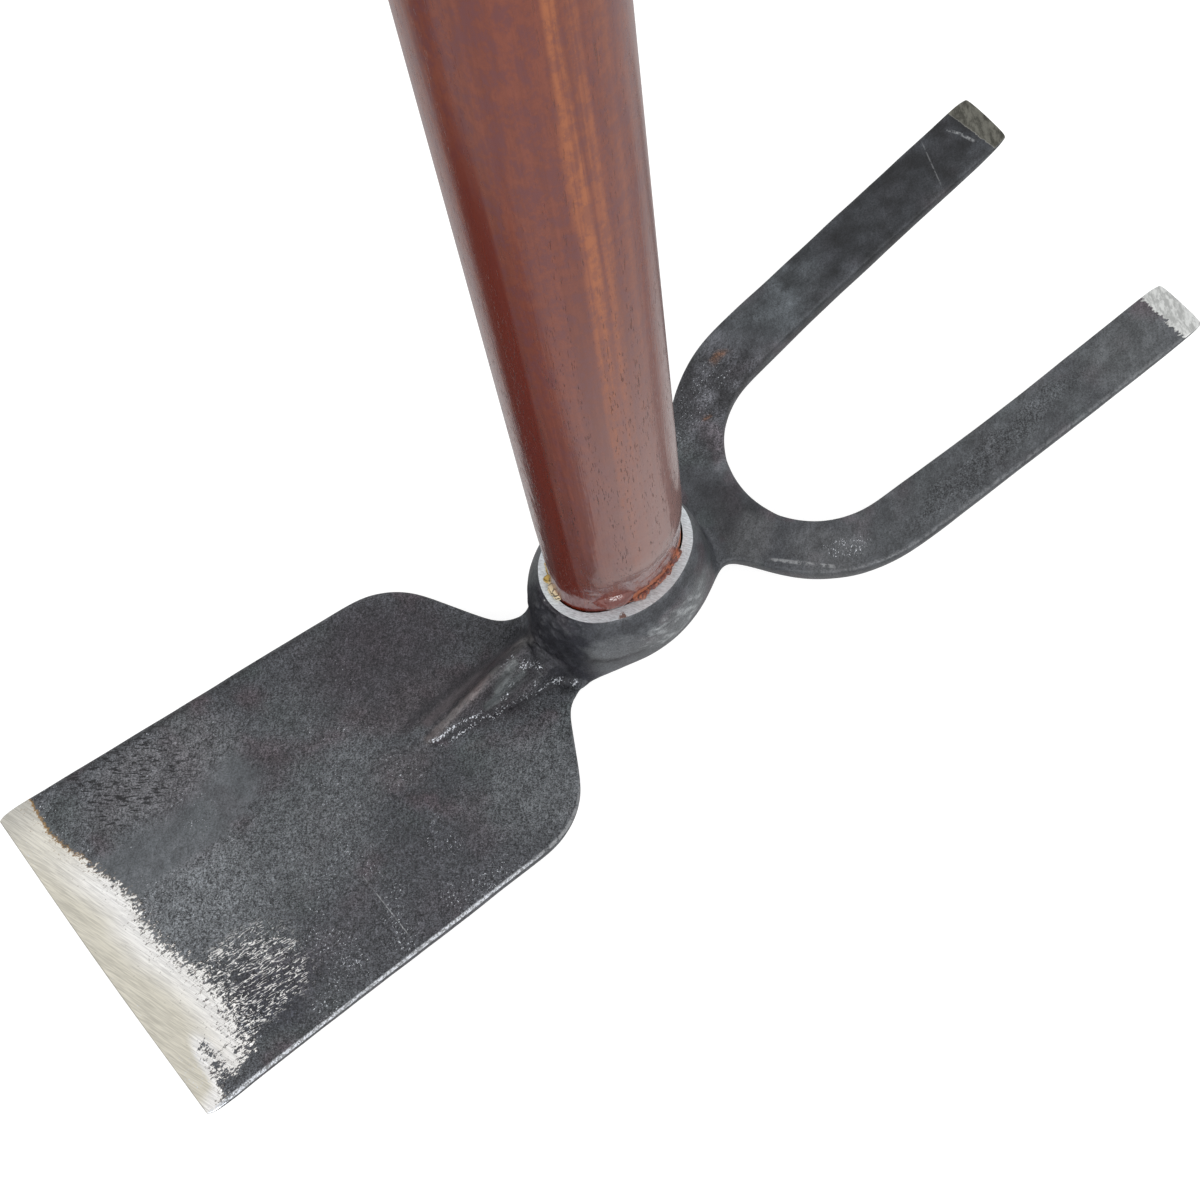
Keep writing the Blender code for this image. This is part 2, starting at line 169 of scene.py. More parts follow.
def floor_material():
    """White to the camera, dimmer to the tool, with a painted shadow behind the blade that only the
    tool sees; from below the camera looks up through it.
    """
    made, tree, shader = new_material("studio_sheet")
    seen = add(tree, "ShaderNodeLightPath", output="Is Camera Ray")
    x, y, _ = split(add(tree, "ShaderNodeTexCoord", output="Object"))
    turn = calc("ARCTAN2", y, x)
    start, end = (math.radians(angle) for angle in FLOOR_SHADOW)
    # A painted shadow of the tool on the sheet, seen only in the tool's own reflections
    shadow = ramp(turn, start, start + SHADOW_EDGE) * ramp(turn, end, end - SHADOW_EDGE)
    lit = 1.0 - shadow * (1.0 - seen) * SHADOW_DEPTH
    feed(shader, {"Roughness": 0.9, "Emission Color": (1.0, 1.0, 1.0),
                  "Base Color": scaled((FLOOR_WHITE,) * 3, lit),
                  "Emission Strength": between(seen, FLOOR_GLOW, FLOOR_LIFT) * lit})
    behind = add(tree, "ShaderNodeNewGeometry", output="Backfacing")
    clear = add(tree, "ShaderNodeBsdfTransparent")
    both = add(tree, "ShaderNodeMixShader", {0: behind, 1: Reading(shader.outputs[0]), 2: clear})
    feed(tree.nodes["Material Output"], {"Surface": both})
    return made


def lay_floor():
    mesh = bpy.data.meshes.new("studio_floor")
    signs = ((-1, -1), (1, -1), (1, 1), (-1, 1))
    corners = [(sx * FLOOR_HALF, sy * FLOOR_HALF, -FLOOR_DROP) for sx, sy in signs]
    mesh.from_pydata(corners, [], [(0, 1, 2, 3)])
    mesh.materials.append(floor_material())
    link_into_scene("studio_floor", mesh)


def hang_softbox(name, place, target, size, radiance):
    """A rectangular softbox of this brightness per unit of area, turned to its target."""
    lamp = bpy.data.lights.new(name, "AREA")
    lamp.shape = "RECTANGLE"
    lamp.size, lamp.size_y = size
    lamp.energy = radiance * math.pi * size[0] * size[1]
    item = link_into_scene(name, lamp)
    item.location = place
    item.rotation_euler = (Vector(target) - Vector(place)).to_track_quat("-Z", "Y").to_euler()


def light_tent():
    """White cloth all round, which the camera sees as white as the floor."""
    world = bpy.data.worlds.new("light_tent")
    bpy.context.scene.world = world
    world.use_nodes = True
    seen = add(world.node_tree, "ShaderNodeLightPath", output="Is Camera Ray")
    feed(world.node_tree.nodes["Background"], {"Color": (1.0, 1.0, 1.0),
                                               "Strength": between(seen, TENT_LIGHT, TENT_WHITE)})
    bpy.context.scene.view_settings.view_transform = "Standard"


def set_camera():
    lens = bpy.data.cameras.new("camera")
    lens.sensor_width = CAMERA_SENSOR
    lens.lens = CAMERA_LENS
    lens.clip_start = CAMERA_NEAR
    item = link_into_scene("camera", lens)
    aim = (CAMERA_TARGET - CAMERA_PLACE).to_track_quat("-Z", "Y").to_matrix()
    turned = aim @ Matrix.Rotation(math.radians(CAMERA_ROLL), 3, "Z")
    item.matrix_world = Matrix.Translation(CAMERA_PLACE) @ turned.to_4x4()
    bpy.context.scene.camera = item


lay_floor()
light_tent()
for name, hanging in SOFTBOXES.items():
    hang_softbox(name, *hanging)
set_camera()


# Head
# One steel forging: an oval eye, a blade that leaves it on one side with a rib running out on
# top, and a two-tine fork on the other. It is hammered out hot, so it keeps a dark, grainy
# scale, and is ground bright only on the cutting edge, the tips of the tines and the rim.
MM = 0.001
EYE_HEIGHT = 28.0
BORE = (14.6, 10.6)
BORE_FOOT = (14.0, 9.9)
RIM = (16.3, 13.1)
FOOT = (15.6, 12.3)
# Rows down the eye's outside: half width, half depth, height and lean
EYE_ROWS = ((16.9, 13.7, 27.0, 0.0), (19.1, 15.9, 22.0, -0.7), (20.0, 16.3, 16.0, -0.1),
            (18.9, 15.4, 8.0, 1.0), (17.0, 13.5, 2.2, 1.0))
# Degrees round the eye of an arm's columns, and of the first one on the free wall
ARM_COLUMNS = (0.0, 17.0, 33.0, 46.0)
WALL_COLUMN = 68.0
COLUMN_STEP = 18.0
# The rows that an arm grows from, and their heights at its columns
ARM_ROWS = (3, 4, 5)
BLADE_ROOT_HEIGHTS = ((19.6, 10.8, 7.2, 8.2), (3.6, 3.5, 3.4, 3.6), (1.0, 1.0, 1.0, 1.1))
FORK_ROOT_HEIGHTS = ((10.6, 10.4, 10.0, 10.4), (4.7, 4.6, 4.5, 4.6), (1.0, 1.0, 1.0, 1.1))
HEAD_REACH = 124.6
SMOOTHING_LEVELS = 3


def cage_radius(radius, step):
    """Smoothing pulls a ring of points inwards, so the cage's ring starts a little larger."""
    return radius * 3 / (2 + math.cos(math.radians(step)))


def blend(start, end, share):
    return start + (end - start) * min(max(share, 0.0), 1.0)


def point(bm, x, y, z):
    return bm.verts.new((x * MM, y * MM, z * MM))


def skin(bm, rings):
    """Join each closed ring of points to the next with a band of quads."""
    for near, far in zip(rings, rings[1:]):
        for i in range(len(near)):
            j = (i + 1) % len(near)
            bm.faces.new((near[i], near[j], far[j], far[i]))


def crease(bm, ends, amount):
    """Hold the edges between these pairs of points sharp against the smoothing."""
    layer = bm.edges.layers.float.get("crease_edge") or bm.edges.layers.float.new("crease_edge")
    for a, b in ends:
        bm.edges.get((a, b))[layer] = amount


def crease_ring(bm, ring, amount):
    crease(bm, zip(ring, ring[1:] + ring[:1]), amount)


def eye_columns():
    """Angles round the eye: close together where an arm leaves, wider on the free walls."""
    quarter = list(ARM_COLUMNS) + [WALL_COLUMN]
    half = quarter + [90.0] + [180.0 - a for a in reversed(quarter)]
    return half + [180.0 + a for a in half[1:-1]]


def degrees_from_arm(angle):
    return min(angle, 360 - angle, abs(angle - 180))


def wall_height(row, height, angle):
    """A row keeps its height on the free wall, and meets the arm's root at its columns."""
    from_arm = degrees_from_arm(angle)
    if row not in ARM_ROWS or from_arm not in ARM_COLUMNS:
        return height
    heights = BLADE_ROOT_HEIGHTS if 90 < angle < 270 else FORK_ROOT_HEIGHTS
    return heights[ARM_ROWS.index(row)][ARM_COLUMNS.index(from_arm)]


def oval_ring(bm, half_axes, height, row=0, lean=0.0):
    ring = []
    for angle in eye_columns():
        turn = math.radians(angle)
        half_x, half_y = (cage_radius(half, COLUMN_STEP) for half in half_axes)
        z = wall_height(row, height, angle)
        ring.append(point(bm, half_x * math.cos(turn) + lean, half_y * math.sin(turn), z))
    return ring


def arm_loop(rows, opposite):
    """The sixteen points round the opening that an arm grows from, top centre first."""
    columns = eye_columns()

    def column(row, angle):
        turned = 180 - angle if opposite else angle
        return row[columns.index(turned % 360)]

    top, middle, bottom = rows
    edge = ARM_COLUMNS[-1]
    plus = [column(top, a) for a in ARM_COLUMNS] + [column(middle, edge)]
    under = [column(bottom, a) for a in reversed(ARM_COLUMNS)]
    under += [column(bottom, -a) for a in ARM_COLUMNS[1:]]
    minus = [column(middle, -edge)] + [column(top, -a) for a in reversed(ARM_COLUMNS[1:])]
    return plus + under + minus


def build_eye(bm):
    """The barrel and its bore, open where the arms join; returns the rows round the openings."""
    outer = [oval_ring(bm, RIM, EYE_HEIGHT)]
    for row, (half_x, half_y, height, lean) in enumerate(EYE_ROWS, start=1):
        outer.append(oval_ring(bm, (half_x, half_y), height, row, lean))
    outer.append(oval_ring(bm, FOOT, 0.0))
    half_way = tuple((top + foot) / 2 for top, foot in zip(BORE, BORE_FOOT))
    bore_rows = ((BORE_FOOT, 0.0), (half_way, EYE_HEIGHT / 2), (BORE, EYE_HEIGHT))
    bore = [oval_ring(bm, half_axes, height) for half_axes, height in bore_rows]
    columns = eye_columns()
    for row, (near, far) in enumerate(zip(outer, outer[1:])):
        for i, angle in enumerate(columns):
            j = (i + 1) % len(columns)
            middle = (angle + (columns[j] or 360)) / 2
            under_arm = degrees_from_arm(middle) < ARM_COLUMNS[-1]
            if row in ARM_ROWS[:2] and under_arm:
                continue
            bm.faces.new((near[i], near[j], far[j], far[i]))
    skin(bm, [outer[-1]] + bore + [outer[0]])
    for ring in (outer[0], outer[-1], bore[0], bore[-1]):
        crease_ring(bm, ring, 1.0)
    return [outer[row] for row in ARM_ROWS]


def arm_section(bm, sign, reach, halves, tops, bottom, bow, tuck=0.0):
    """A ring of sixteen points across an arm: half widths and top heights, centre first.

    The centre stands further out than the edges by the bow, and the underside is narrower
    than the top by the tuck on each side.
    """
    edge = halves[-1]
    side = edge - SIDE_TUCK * tuck
    middle = (tops[-1] + bottom) / 2
    under_halves = [y - tuck * y / edge for y in halves]

    def place(y, z):
        bulge = bow * (1 - (y / edge) ** 2)
        return point(bm, sign * (reach + bulge), y, z)

    plus = [place(y, z) for y, z in zip(halves, tops)] + [place(side, middle)]
    under = [place(y, bottom) for y in reversed(under_halves)]
    under += [place(-y, bottom) for y in under_halves[1:]]
    minus = [place(-side, middle)] + [place(-y, z) for y, z in list(zip(halves, tops))[:0:-1]]
    return plus + under + minus


def cap_arm(bm, ring):
    """Close an arm's last section with faces that run from its top to its underside."""
    plus = ((0, 1, 7, 8), (1, 2, 6, 7), (2, 3, 4, 5, 6))
    minus = ((0, 8, 9, 15), (15, 9, 10, 14), (14, 10, 11, 12, 13))
    for corners in plus + minus:
        bm.faces.new([ring[i] for i in corners])


# Blade
# The flat half of the forging, 72 mm wide, drawn thinner from the neck to the ground end. Its
# rib is hammered up from the same metal and falls straight to a point.
BLADE_RISE = 0.187
BLADE_MIDDLE = 75.0
BLADE_MIDDLE_HEIGHT = 15.9
BLADE_ROOT_THICKNESS = 5.0
SHOULDER_THICKNESS = 3.9
BEVEL_THICKNESS = 2.6
CUTTING_EDGE = 0.5
CUTTING_EDGE_HEIGHT = 24.4
NECK_X = 17.6
NECK_HALF_WIDTH = 10.3
NECK_FILLET = 8.8
SHOULDER_RADIUS = 16.0
SHOULDER_HALF_WIDTH = 33.8
SHOULDER_X = 45.5
SHOULDER_SLOPE = 60.0
CURVE_STEP = 15.0
BLADE_STATIONS = (51.5, 58.0, 72.0, 88.0, 102.0, 113.0)
SIDE_FLARE = 0.030
BEVEL_X = 113.0
# Reach, thickness, bow, and how much is taken off the corner
BEVEL_STATIONS = ((118.5, 1.7, 0.0, 0.0), (HEAD_REACH - 1.0, 0.8, 0.4, 0.0),
                  (HEAD_REACH, CUTTING_EDGE, 0.4, 0.7))
RIB_TIP_X = 51.5
RIB_LENGTH = 32.0
RIB_HEIGHT = 12.5
RIB_HALF_WIDTH = 7.4
RIB_TIP_HALF_WIDTH = 1.6
RIB_SECTIONS = 11
RIB_FADE_RUN = 40.0
CREST_CREASE = 0.75
FLANK_CREASE = 0.55
EDGE_ROUNDING = 1.0
NECK_BOW = 4.5
NECK_TUCK = 3.4
BLADE_TUCK = 0.3
SIDE_TUCK = 0.4


def blade_top(reach):
    return BLADE_MIDDLE_HEIGHT + BLADE_RISE * (reach - BLADE_MIDDLE)


def blade_half_width(reach):
    return SHOULDER_HALF_WIDTH + SIDE_FLARE * (reach - SHOULDER_X)


def blade_thickness(reach):
    if reach < SHOULDER_X:
        return blend(BLADE_ROOT_THICKNESS, SHOULDER_THICKNESS, (reach - NECK_X) / (SHOULDER_X - NECK_X))
    return blend(SHOULDER_THICKNESS, BEVEL_THICKNESS, (reach - SHOULDER_X) / (BEVEL_X - SHOULDER_X))


def blade_outline():
    """Reach and half width of the blade's sections, from the neck to the ground bevel."""
    outline = []
    fillet = cage_radius(NECK_FILLET, CURVE_STEP)
    for step in range(4):
        turn = math.radians(SHOULDER_SLOPE * step / 3)
        outline.append((NECK_X + fillet * math.sin(turn), NECK_HALF_WIDTH + fillet * (1 - math.cos(turn))))
    shoulder = cage_radius(SHOULDER_RADIUS, CURVE_STEP)
    for step in range(4, -1, -1):
        turn = math.radians(SHOULDER_SLOPE * step / 4)
        half = SHOULDER_HALF_WIDTH - shoulder * (1 - math.cos(turn))
        outline.append((SHOULDER_X - shoulder * math.sin(turn), half))
    return outline + [(reach, blade_half_width(reach)) for reach in BLADE_STATIONS]


def blade_section(bm, reach, half, bow):
    """A section with the rib on top: its crest falls straight to the tip, its foot narrows."""
    rib_share = max((RIB_TIP_X - reach) / RIB_LENGTH, 0.0)
    fade = blend(RIB_TIP_HALF_WIDTH, half / 3, (reach - RIB_TIP_X) / RIB_FADE_RUN)
    foot = max(RIB_HALF_WIDTH * rib_share ** 0.75, fade)
    crest_share = max((RIB_TIP_X - reach - bow) / RIB_LENGTH, 0.0)
    crest = blade_top(reach + bow) + RIB_HEIGHT * crest_share
    halves = (0.0, min(foot, half - 2 * EDGE_ROUNDING), half - EDGE_ROUNDING, half)
    top = blade_top(reach)
    tuck = blend(NECK_TUCK, BLADE_TUCK, (reach - NECK_X) / (SHOULDER_X - NECK_X))
    return arm_section(bm, -1, reach, halves, (crest, top, top, top), top - blade_thickness(reach), bow, tuck)


def build_blade(bm, root):
    sections = [root]
    for index, (reach, half) in enumerate(blade_outline()):
        sections.append(blade_section(bm, reach, half, max(NECK_BOW - index, 0.0)))
    for reach, thickness, bow, corner in BEVEL_STATIONS:
        share = (reach - BEVEL_X) / (HEAD_REACH - BEVEL_X)
        top = blend(blade_top(BEVEL_X), CUTTING_EDGE_HEIGHT, share)
        half = blade_half_width(HEAD_REACH) - corner
        halves = (0.0, half / 3, half - EDGE_ROUNDING, half)
        sections.append(arm_section(bm, -1, reach, halves, (top,) * 4, top - thickness, bow))
    skin(bm, sections)
    cap_arm(bm, sections[-1])
    crease_ring(bm, sections[-1], 1.0)
    rib = sections[1:RIB_SECTIONS]
    for index, (near, far) in enumerate(zip(rib, rib[1:])):
        fade = 1 - index / RIB_SECTIONS
        crease(bm, [(near[0], far[0])], CREST_CREASE * fade)
        crease(bm, [(near[1], far[1]), (near[-1], far[-1])], FLANK_CREASE * fade)


# Fork
# The other half of the forging: a short trunk opens into a round yoke, and the yoke's bar is
# drawn out into two flat tines. The hammer left the tines a little unlike.
FORK_RISE = 0.1175
FORK_TIP_HEIGHT = 20.1
CROTCH_RADIUS = 19.6
CROTCH_X = 53.0
YOKE_RADIUS = 32.7
YOKE_X = 54.5
YOKE_STEP = 12.0
YOKE_BACK_X = 33.0
YOKE_THICKNESS = 7.2
TINE_TIP_THICKNESS = 3.0
THINNING = 1.3
TIP_OUTER = {1: 36.2, -1: 36.4}
TIP_INNER = {1: 22.8, -1: 23.5}
TINE_REACH = {1: 125.7, -1: 124.5}
OUTER_FLARE = 0.8
INNER_FLARE = 0.6
BAR_ROUNDING = 1.5
BAR_TUCK = (1.7, 0.5)
# Distance behind the tip, rounding, thickness if it is set, drop, bow and narrowing
TINE_STATIONS = ((54.0, 1.5, None, 0.0, 0.0, 0.0), (35.0, 1.5, None, 0.0, 0.0, 0.0),
                 (17.0, 1.3, None, 0.0, 0.0, 0.0), (6.0, 1.2, None, 0.0, 0.0, 0.0),
                 (1.6, 1.2, 1.6, 0.2, 0.4, 0.0), (0.0, 1.2, 0.9, 0.4, 0.5, 0.4))
# Distance out, half width and bow
TRUNK_STATIONS = ((17.6, 9.4, 3.8), (21.5, 8.8, 1.4))
TRUNK_COLUMNS = (0.0, 0.48, 0.87, 1.0)
TRUNK_BOTTOM = 1.0
TRUNK_TUCK = 2.0
ROOT_ANGLES = (0.0, 12.0, 23.0, 27.0)
ROOT_HOLLOW = 1.2
YOKE_ANGLES = (38.0, 51.0, 64.0, 77.0, 90.0)


def fork_top(x):
    return FORK_TIP_HEIGHT + FORK_RISE * (x - HEAD_REACH)


def fork_thickness(x):
    share = max(x - YOKE_BACK_X, 0.0) / (HEAD_REACH - YOKE_BACK_X)
    return YOKE_THICKNESS - (YOKE_THICKNESS - TINE_TIP_THICKNESS) * share ** THINNING


def bar_section(bm, outer, inner, rounding=BAR_ROUNDING, thickness=None, drop=0.0, bow=0.0):
    """A ring of ten points across the fork's bar, from its outer to its inner side.

    The underside is tucked in, as the hammer leaves it, and a tip's middle bows outwards.
    """
    span = math.dist(outer, inner)
    across = [(i - o) / span for o, i in zip(outer, inner)]
    depth = thickness or fork_thickness(outer[0])
    tuck_outer, tuck_inner = (tuck * depth / YOKE_THICKNESS for tuck in BAR_TUCK)

    def spot(step, down, push=0.0):
        x, y = (o + a * step for o, a in zip(outer, across))
        return point(bm, x + push, y, fork_top(x) - drop - down)

    top = [spot(0, 0), spot(rounding, 0, bow), spot(span - rounding, 0, bow), spot(span, 0)]
    inner_side = [spot(span, depth / 2)]
    under = [spot(span - tuck_inner, depth), spot(span - tuck_inner - rounding, depth, bow),
             spot(tuck_outer + rounding, depth, bow), spot(tuck_outer, depth)]
    outer_side = [spot(0.2 * tuck_outer, depth / 2)]
    return top + inner_side + under + outer_side


def yoke_point(radius, centre_x, angle, side):
    turn = math.radians(angle)
    grown = cage_radius(radius, YOKE_STEP)
    return (centre_x - grown * math.cos(turn), side * grown * math.sin(turn))


def half_fork(bm, side):
    """Sections of the bar from the crotch's middle round the yoke to the tip of one tine."""
    sections = []
    corner_x, corner_y = yoke_point(YOKE_RADIUS, YOKE_X, ROOT_ANGLES[-1], side)
    for angle in ROOT_ANGLES:
        share = angle / ROOT_ANGLES[-1]
        outer = (corner_x - ROOT_HOLLOW * (1 - share), corner_y * share)
        sections.append(bar_section(bm, outer, yoke_point(CROTCH_RADIUS, CROTCH_X, angle, side)))
    for angle in YOKE_ANGLES:
        outer = yoke_point(YOKE_RADIUS, YOKE_X, angle, side)
        sections.append(bar_section(bm, outer, yoke_point(CROTCH_RADIUS, CROTCH_X, angle, side)))
    for behind_tip, rounding, thickness, drop, bow, narrowing in TINE_STATIONS:
        x = TINE_REACH[side] - behind_tip
        share = (x - YOKE_X) / (TINE_REACH[side] - YOKE_X)
        outer = (x, side * (blend(YOKE_RADIUS, TIP_OUTER[side], share ** OUTER_FLARE) - narrowing))
        inner = (x, side * (blend(CROTCH_RADIUS, TIP_INNER[side], share ** INNER_FLARE) + narrowing))
        sections.append(bar_section(bm, outer, inner, rounding, thickness, drop, bow))
    return sections


def build_fork(bm, root):
    """One bar from tip to tip, whose outer side opens at the crotch's back for the trunk.

    Both halves share the middle section; the spare one is loose and is removed at the end.
    """
    plus = half_fork(bm, 1)
    minus = half_fork(bm, -1)
    minus[0] = plus[0]
    reach = len(ROOT_ANGLES) - 1
    for half, turned in ((plus, False), (minus, True)):
        for number, (near, far) in enumerate(zip(half, half[1:])):
            for i in range(len(near)):
                if number < reach and i in (8, 9):
                    continue
                j = (i + 1) % len(near)
                corners = (near[i], near[j], far[j], far[i])
                bm.faces.new(corners[::-1] if turned else corners)
        bm.faces.new(half[-1])
        crease_ring(bm, half[-1], 1.0)
    opening = [ring[0] for ring in plus[:reach + 1]] + [plus[reach][9]]
    opening += [ring[8] for ring in reversed(plus[:reach + 1])]
    opening += [ring[8] for ring in minus[1:reach + 1]] + [minus[reach][9]]
    opening += [ring[0] for ring in reversed(minus[1:reach + 1])]
    trunk = []
    for x, half, bow in TRUNK_STATIONS:
        halves = [half * column for column in TRUNK_COLUMNS]
        trunk.append(arm_section(bm, 1, x, halves, (fork_top(x),) * 4, TRUNK_BOTTOM, bow, TRUNK_TUCK))
    skin(bm, [root] + trunk + [opening])


# Hammer marks
# Long, low waves that the hammer left over the whole forging, and the grooves, small facets and
# beads where the rib and the neck were driven up against the eye.
SHARP_ANGLE = 40.0
PLAIN_RIM = 0.6
PLAIN_EDGE = 4.0
BORE_MARGIN = 0.2
WORN_BEND = 0.6
# Size and depth of the waves, and of the crumpled skin of the neck, with its centre and half sizes
LONG_WAVE = (24.0, 0.16)
SHORT_WAVE = (7.0, 0.07)
CRUMPLE = (2.4, 0.55)
CRUMPLED_NECK = ((-20.0, -2.0), (7.0, 8.0))
# Two corners, on the plan, of the area round the rib where the mesh is finer
FINE_AREA = ((-61.0, -11.0), (-12.0, 10.0))
# On the plan: start, end, half width, and depth or height
GROOVES = ((-22.0, 6.5, -50.0, 4.6, 1.1, 0.34), (-50.0, 4.6, -59.0, 2.4, 1.0, 0.20),
           (-21.9, -6.6, -33.0, -5.4, 0.60, 0.42), (-33.0, -5.4, -50.0, -2.2, 0.55, 0.36),
           (-24.0, -3.6, -41.0, -3.2, 0.45, 0.30), (-20.8, 7.5, -23.6, -3.0, 0.70, 0.36),
           (-16.5, -8.5, -22.5, -6.0, 0.80, 0.32), (-30.0, -1.2, -37.0, -1.8, 0.40, 0.20))
RIDGES = ((-51.0, -1.2, -38.0, 0.2, 0.70, 0.22), (-38.0, 0.2, -24.0, 1.8, 0.80, 0.24),
          (-33.4, -2.0, -27.6, -0.7, 0.70, 0.20), (-48.0, -2.6, -40.0, -4.0, 0.45, 0.18),
          (-40.0, -4.0, -29.0, -4.7, 0.45, 0.18))
# Centre, radius and height
BEADS = ((-18.5, -3.2, 1.2, 0.60), (-17.2, -5.6, 0.9, 0.40), (-20.4, -4.4, 1.0, 0.36),
         (-24.6, -0.4, 0.9, 0.25), (-21.5, -0.6, 1.0, 0.30), (-19.0, 2.6, 1.3, 0.30))


def points_of(mesh):
    """A mesh's points in millimetres, and its normals."""
    count = len(mesh.vertices)
    co = np.empty(count * 3)
    mesh.vertices.foreach_get("co", co)
    normal = np.empty(count * 3)
    mesh.vertices.foreach_get("normal", normal)
    return co.reshape(-1, 3) / MM, normal.reshape(-1, 3)


def rough_field(co, size, octaves, offset=0.0):
    """A noise about zero, with lumps of this size, at every point."""
    shift = Vector((offset, offset, offset))
    return np.array([noise.fractal(Vector(p) / size + shift, 1.0, 2.0, octaves) for p in co])


def to_segment(x, y, x0, y0, x1, y1):
    """How far points on the plan are from a straight stretch."""
    run_x, run_y = x1 - x0, y1 - y0
    share = np.clip(((x - x0) * run_x + (y - y0) * run_y) / (run_x ** 2 + run_y ** 2), 0, 1)
    return np.hypot(x - x0 - share * run_x, y - y0 - share * run_y)


def stroke(x, y, x0, y0, x1, y1, half):
    return np.exp(-(to_segment(x, y, x0, y0, x1, y1) / half) ** 2)


def step(value, start, end):
    """A smooth step from 0, at start, to 1, at end."""
    share = np.clip((value - start) / (end - start), 0, 1)
    return share * share * (3 - 2 * share)


def refine_rib(mesh):
    """Split the faces round the rib once more, so that its small facets have points to sit on."""
    bm = bmesh.new()
    bm.from_mesh(mesh)
    (low_x, low_y), (high_x, high_y) = FINE_AREA
    edges = set()
    for face in bm.faces:
        middle = face.calc_center_median() / MM
        if low_x < middle.x < high_x and low_y < middle.y < high_y and face.normal.z > 0.05:
            edges.update(face.edges)
    bmesh.ops.subdivide_edges(bm, edges=list(edges), cuts=1, use_grid_fill=True)
    bm.to_mesh(mesh)
    bm.free()


def hammer(mesh, box):
    """Move the points along their normals by the marks of the hammer, inside the head's box."""
    co, normal = points_of(mesh)
    push = sum(rough_field(co, size, 1) * depth for size, depth in (LONG_WAVE, SHORT_WAVE))
    x, y, z = co.T
    (neck_x, neck_y), (half_x, half_y) = CRUMPLED_NECK
    near_neck = np.exp(-(((x - neck_x) / half_x) ** 2 + ((y - neck_y) / half_y) ** 2))
    push = push + rough_field(co, CRUMPLE[0], 3) * CRUMPLE[1] * near_neck * step(z, 2.0, 5.0)
    upward = np.clip(normal[:, 2] * 2, 0, 1)
    for *line, half, depth in GROOVES:
        push = push - upward * depth * stroke(x, y, *line, half)
    for *line, half, height in RIDGES:
        push = push + upward * height * stroke(x, y, *line, half)
    for bead_x, bead_y, radius, height in BEADS:
        push = push + upward * height * np.exp(-((x - bead_x) ** 2 + (y - bead_y) ** 2) / radius ** 2)
    in_bore = np.hypot(x / (BORE[0] + BORE_MARGIN), y / (BORE[1] + BORE_MARGIN)) < 1
    flat_end = np.minimum(np.abs(z - EYE_HEIGHT), np.abs(z)) / PLAIN_RIM
    push = push * np.where(in_bore, 0, np.clip(flat_end, 0, 1)) * np.clip((x + HEAD_REACH) / PLAIN_EDGE, 0, 1)
    co = co + normal * push[:, None]
    low, high = (np.array(corner) / MM for corner in box)
    mesh.vertices.foreach_set("co", (np.clip(co, low, high) * MM).ravel())
    mesh.update()


def mark_worn_edges(mesh):
    """Store how sharply the surface bends outwards, because wear starts there."""
    co, normal = points_of(mesh)
    ends = np.empty(len(mesh.edges) * 2, int)
    mesh.edges.foreach_get("vertices", ends)
    a, b = ends.reshape(-1, 2).T
    span = co[a] - co[b]
    length = np.maximum((span ** 2).sum(1), 1e-9)
    bend = np.zeros(len(co))
    degree = np.zeros(len(co))
    for near, gap in ((a, span), (b, -span)):
        np.add.at(bend, near, 2 * (normal[near] * gap).sum(1) / length)
        np.add.at(degree, near, 1)
    degree = np.maximum(degree, 1)
    bend /= degree
    for _ in range(2):
        spread = np.zeros(len(co))
        np.add.at(spread, a, bend[b])
        np.add.at(spread, b, bend[a])
        bend = 0.5 * bend + 0.5 * spread / degree
    layer = mesh.attributes.new("worn", "FLOAT", "POINT")
    layer.data.foreach_set("value", np.clip(bend / WORN_BEND, 0, 1).astype(np.float32))


def settle(item):
    """Turn an object's modifiers into plain mesh and take them off."""
    made = bpy.data.meshes.new_from_object(item.evaluated_get(bpy.context.evaluated_depsgraph_get()))
    item.modifiers.clear()
    item.data = made


def into_scene(bm, name):
    """Turn the faces outwards, and put the mesh into the scene."""
    bmesh.ops.recalc_face_normals(bm, faces=bm.faces)
    mesh = bpy.data.meshes.new(name)
    bm.to_mesh(mesh)
    bm.free()
    return link_into_scene(name, mesh)


def shade_round(mesh):
    mesh.shade_smooth()
    mesh.set_sharp_from_angle(angle=math.radians(SHARP_ANGLE))


def give_finish(item, finish):
    item.data.materials.clear()
    item.data.materials.append(finish)


def forge_head():
    bm = bmesh.new()
    roots = build_eye(bm)
    build_blade(bm, arm_loop(roots, opposite=True))
    build_fork(bm, arm_loop(roots, opposite=False))
    bmesh.ops.delete(bm, geom=[v for v in bm.verts if not v.link_faces], context="VERTS")
    head = into_scene(bm, "forged_head")
    smooth = head.modifiers.new("Forged rounding", "SUBSURF")
    smooth.levels = SMOOTHING_LEVELS
    smooth.render_levels = SMOOTHING_LEVELS
    settle(head)
    refine_rib(head.data)
    hammer(head.data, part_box("hoe_head"))
    mark_worn_edges(head.data)
    shade_round(head.data)
    return head


# Steel finish
# Forging scale is a thin blue-grey oxide with brown clouds, grainy on the blade and smoother on
# the eye and the fork. Where the wheel took it off, bare steel shows with its fine scratches.
SCALE_GRAIN = 0.36
# The scale's black pits, grooves and dashes, its worn and scratched places with the painted
# highlights on the yoke's and blade's edges, and its bright points
PIT_BLACK = (0.014, 0.014, 0.017)
GROOVE_BLACK = (0.016, 0.016, 0.020)
DASH_BLACK = (0.008, 0.008, 0.010)
WORN_AND_HIGHLIT_GREY = (0.36, 0.37, 0.38)
GLINT_WHITE = (0.72, 0.75, 0.80)
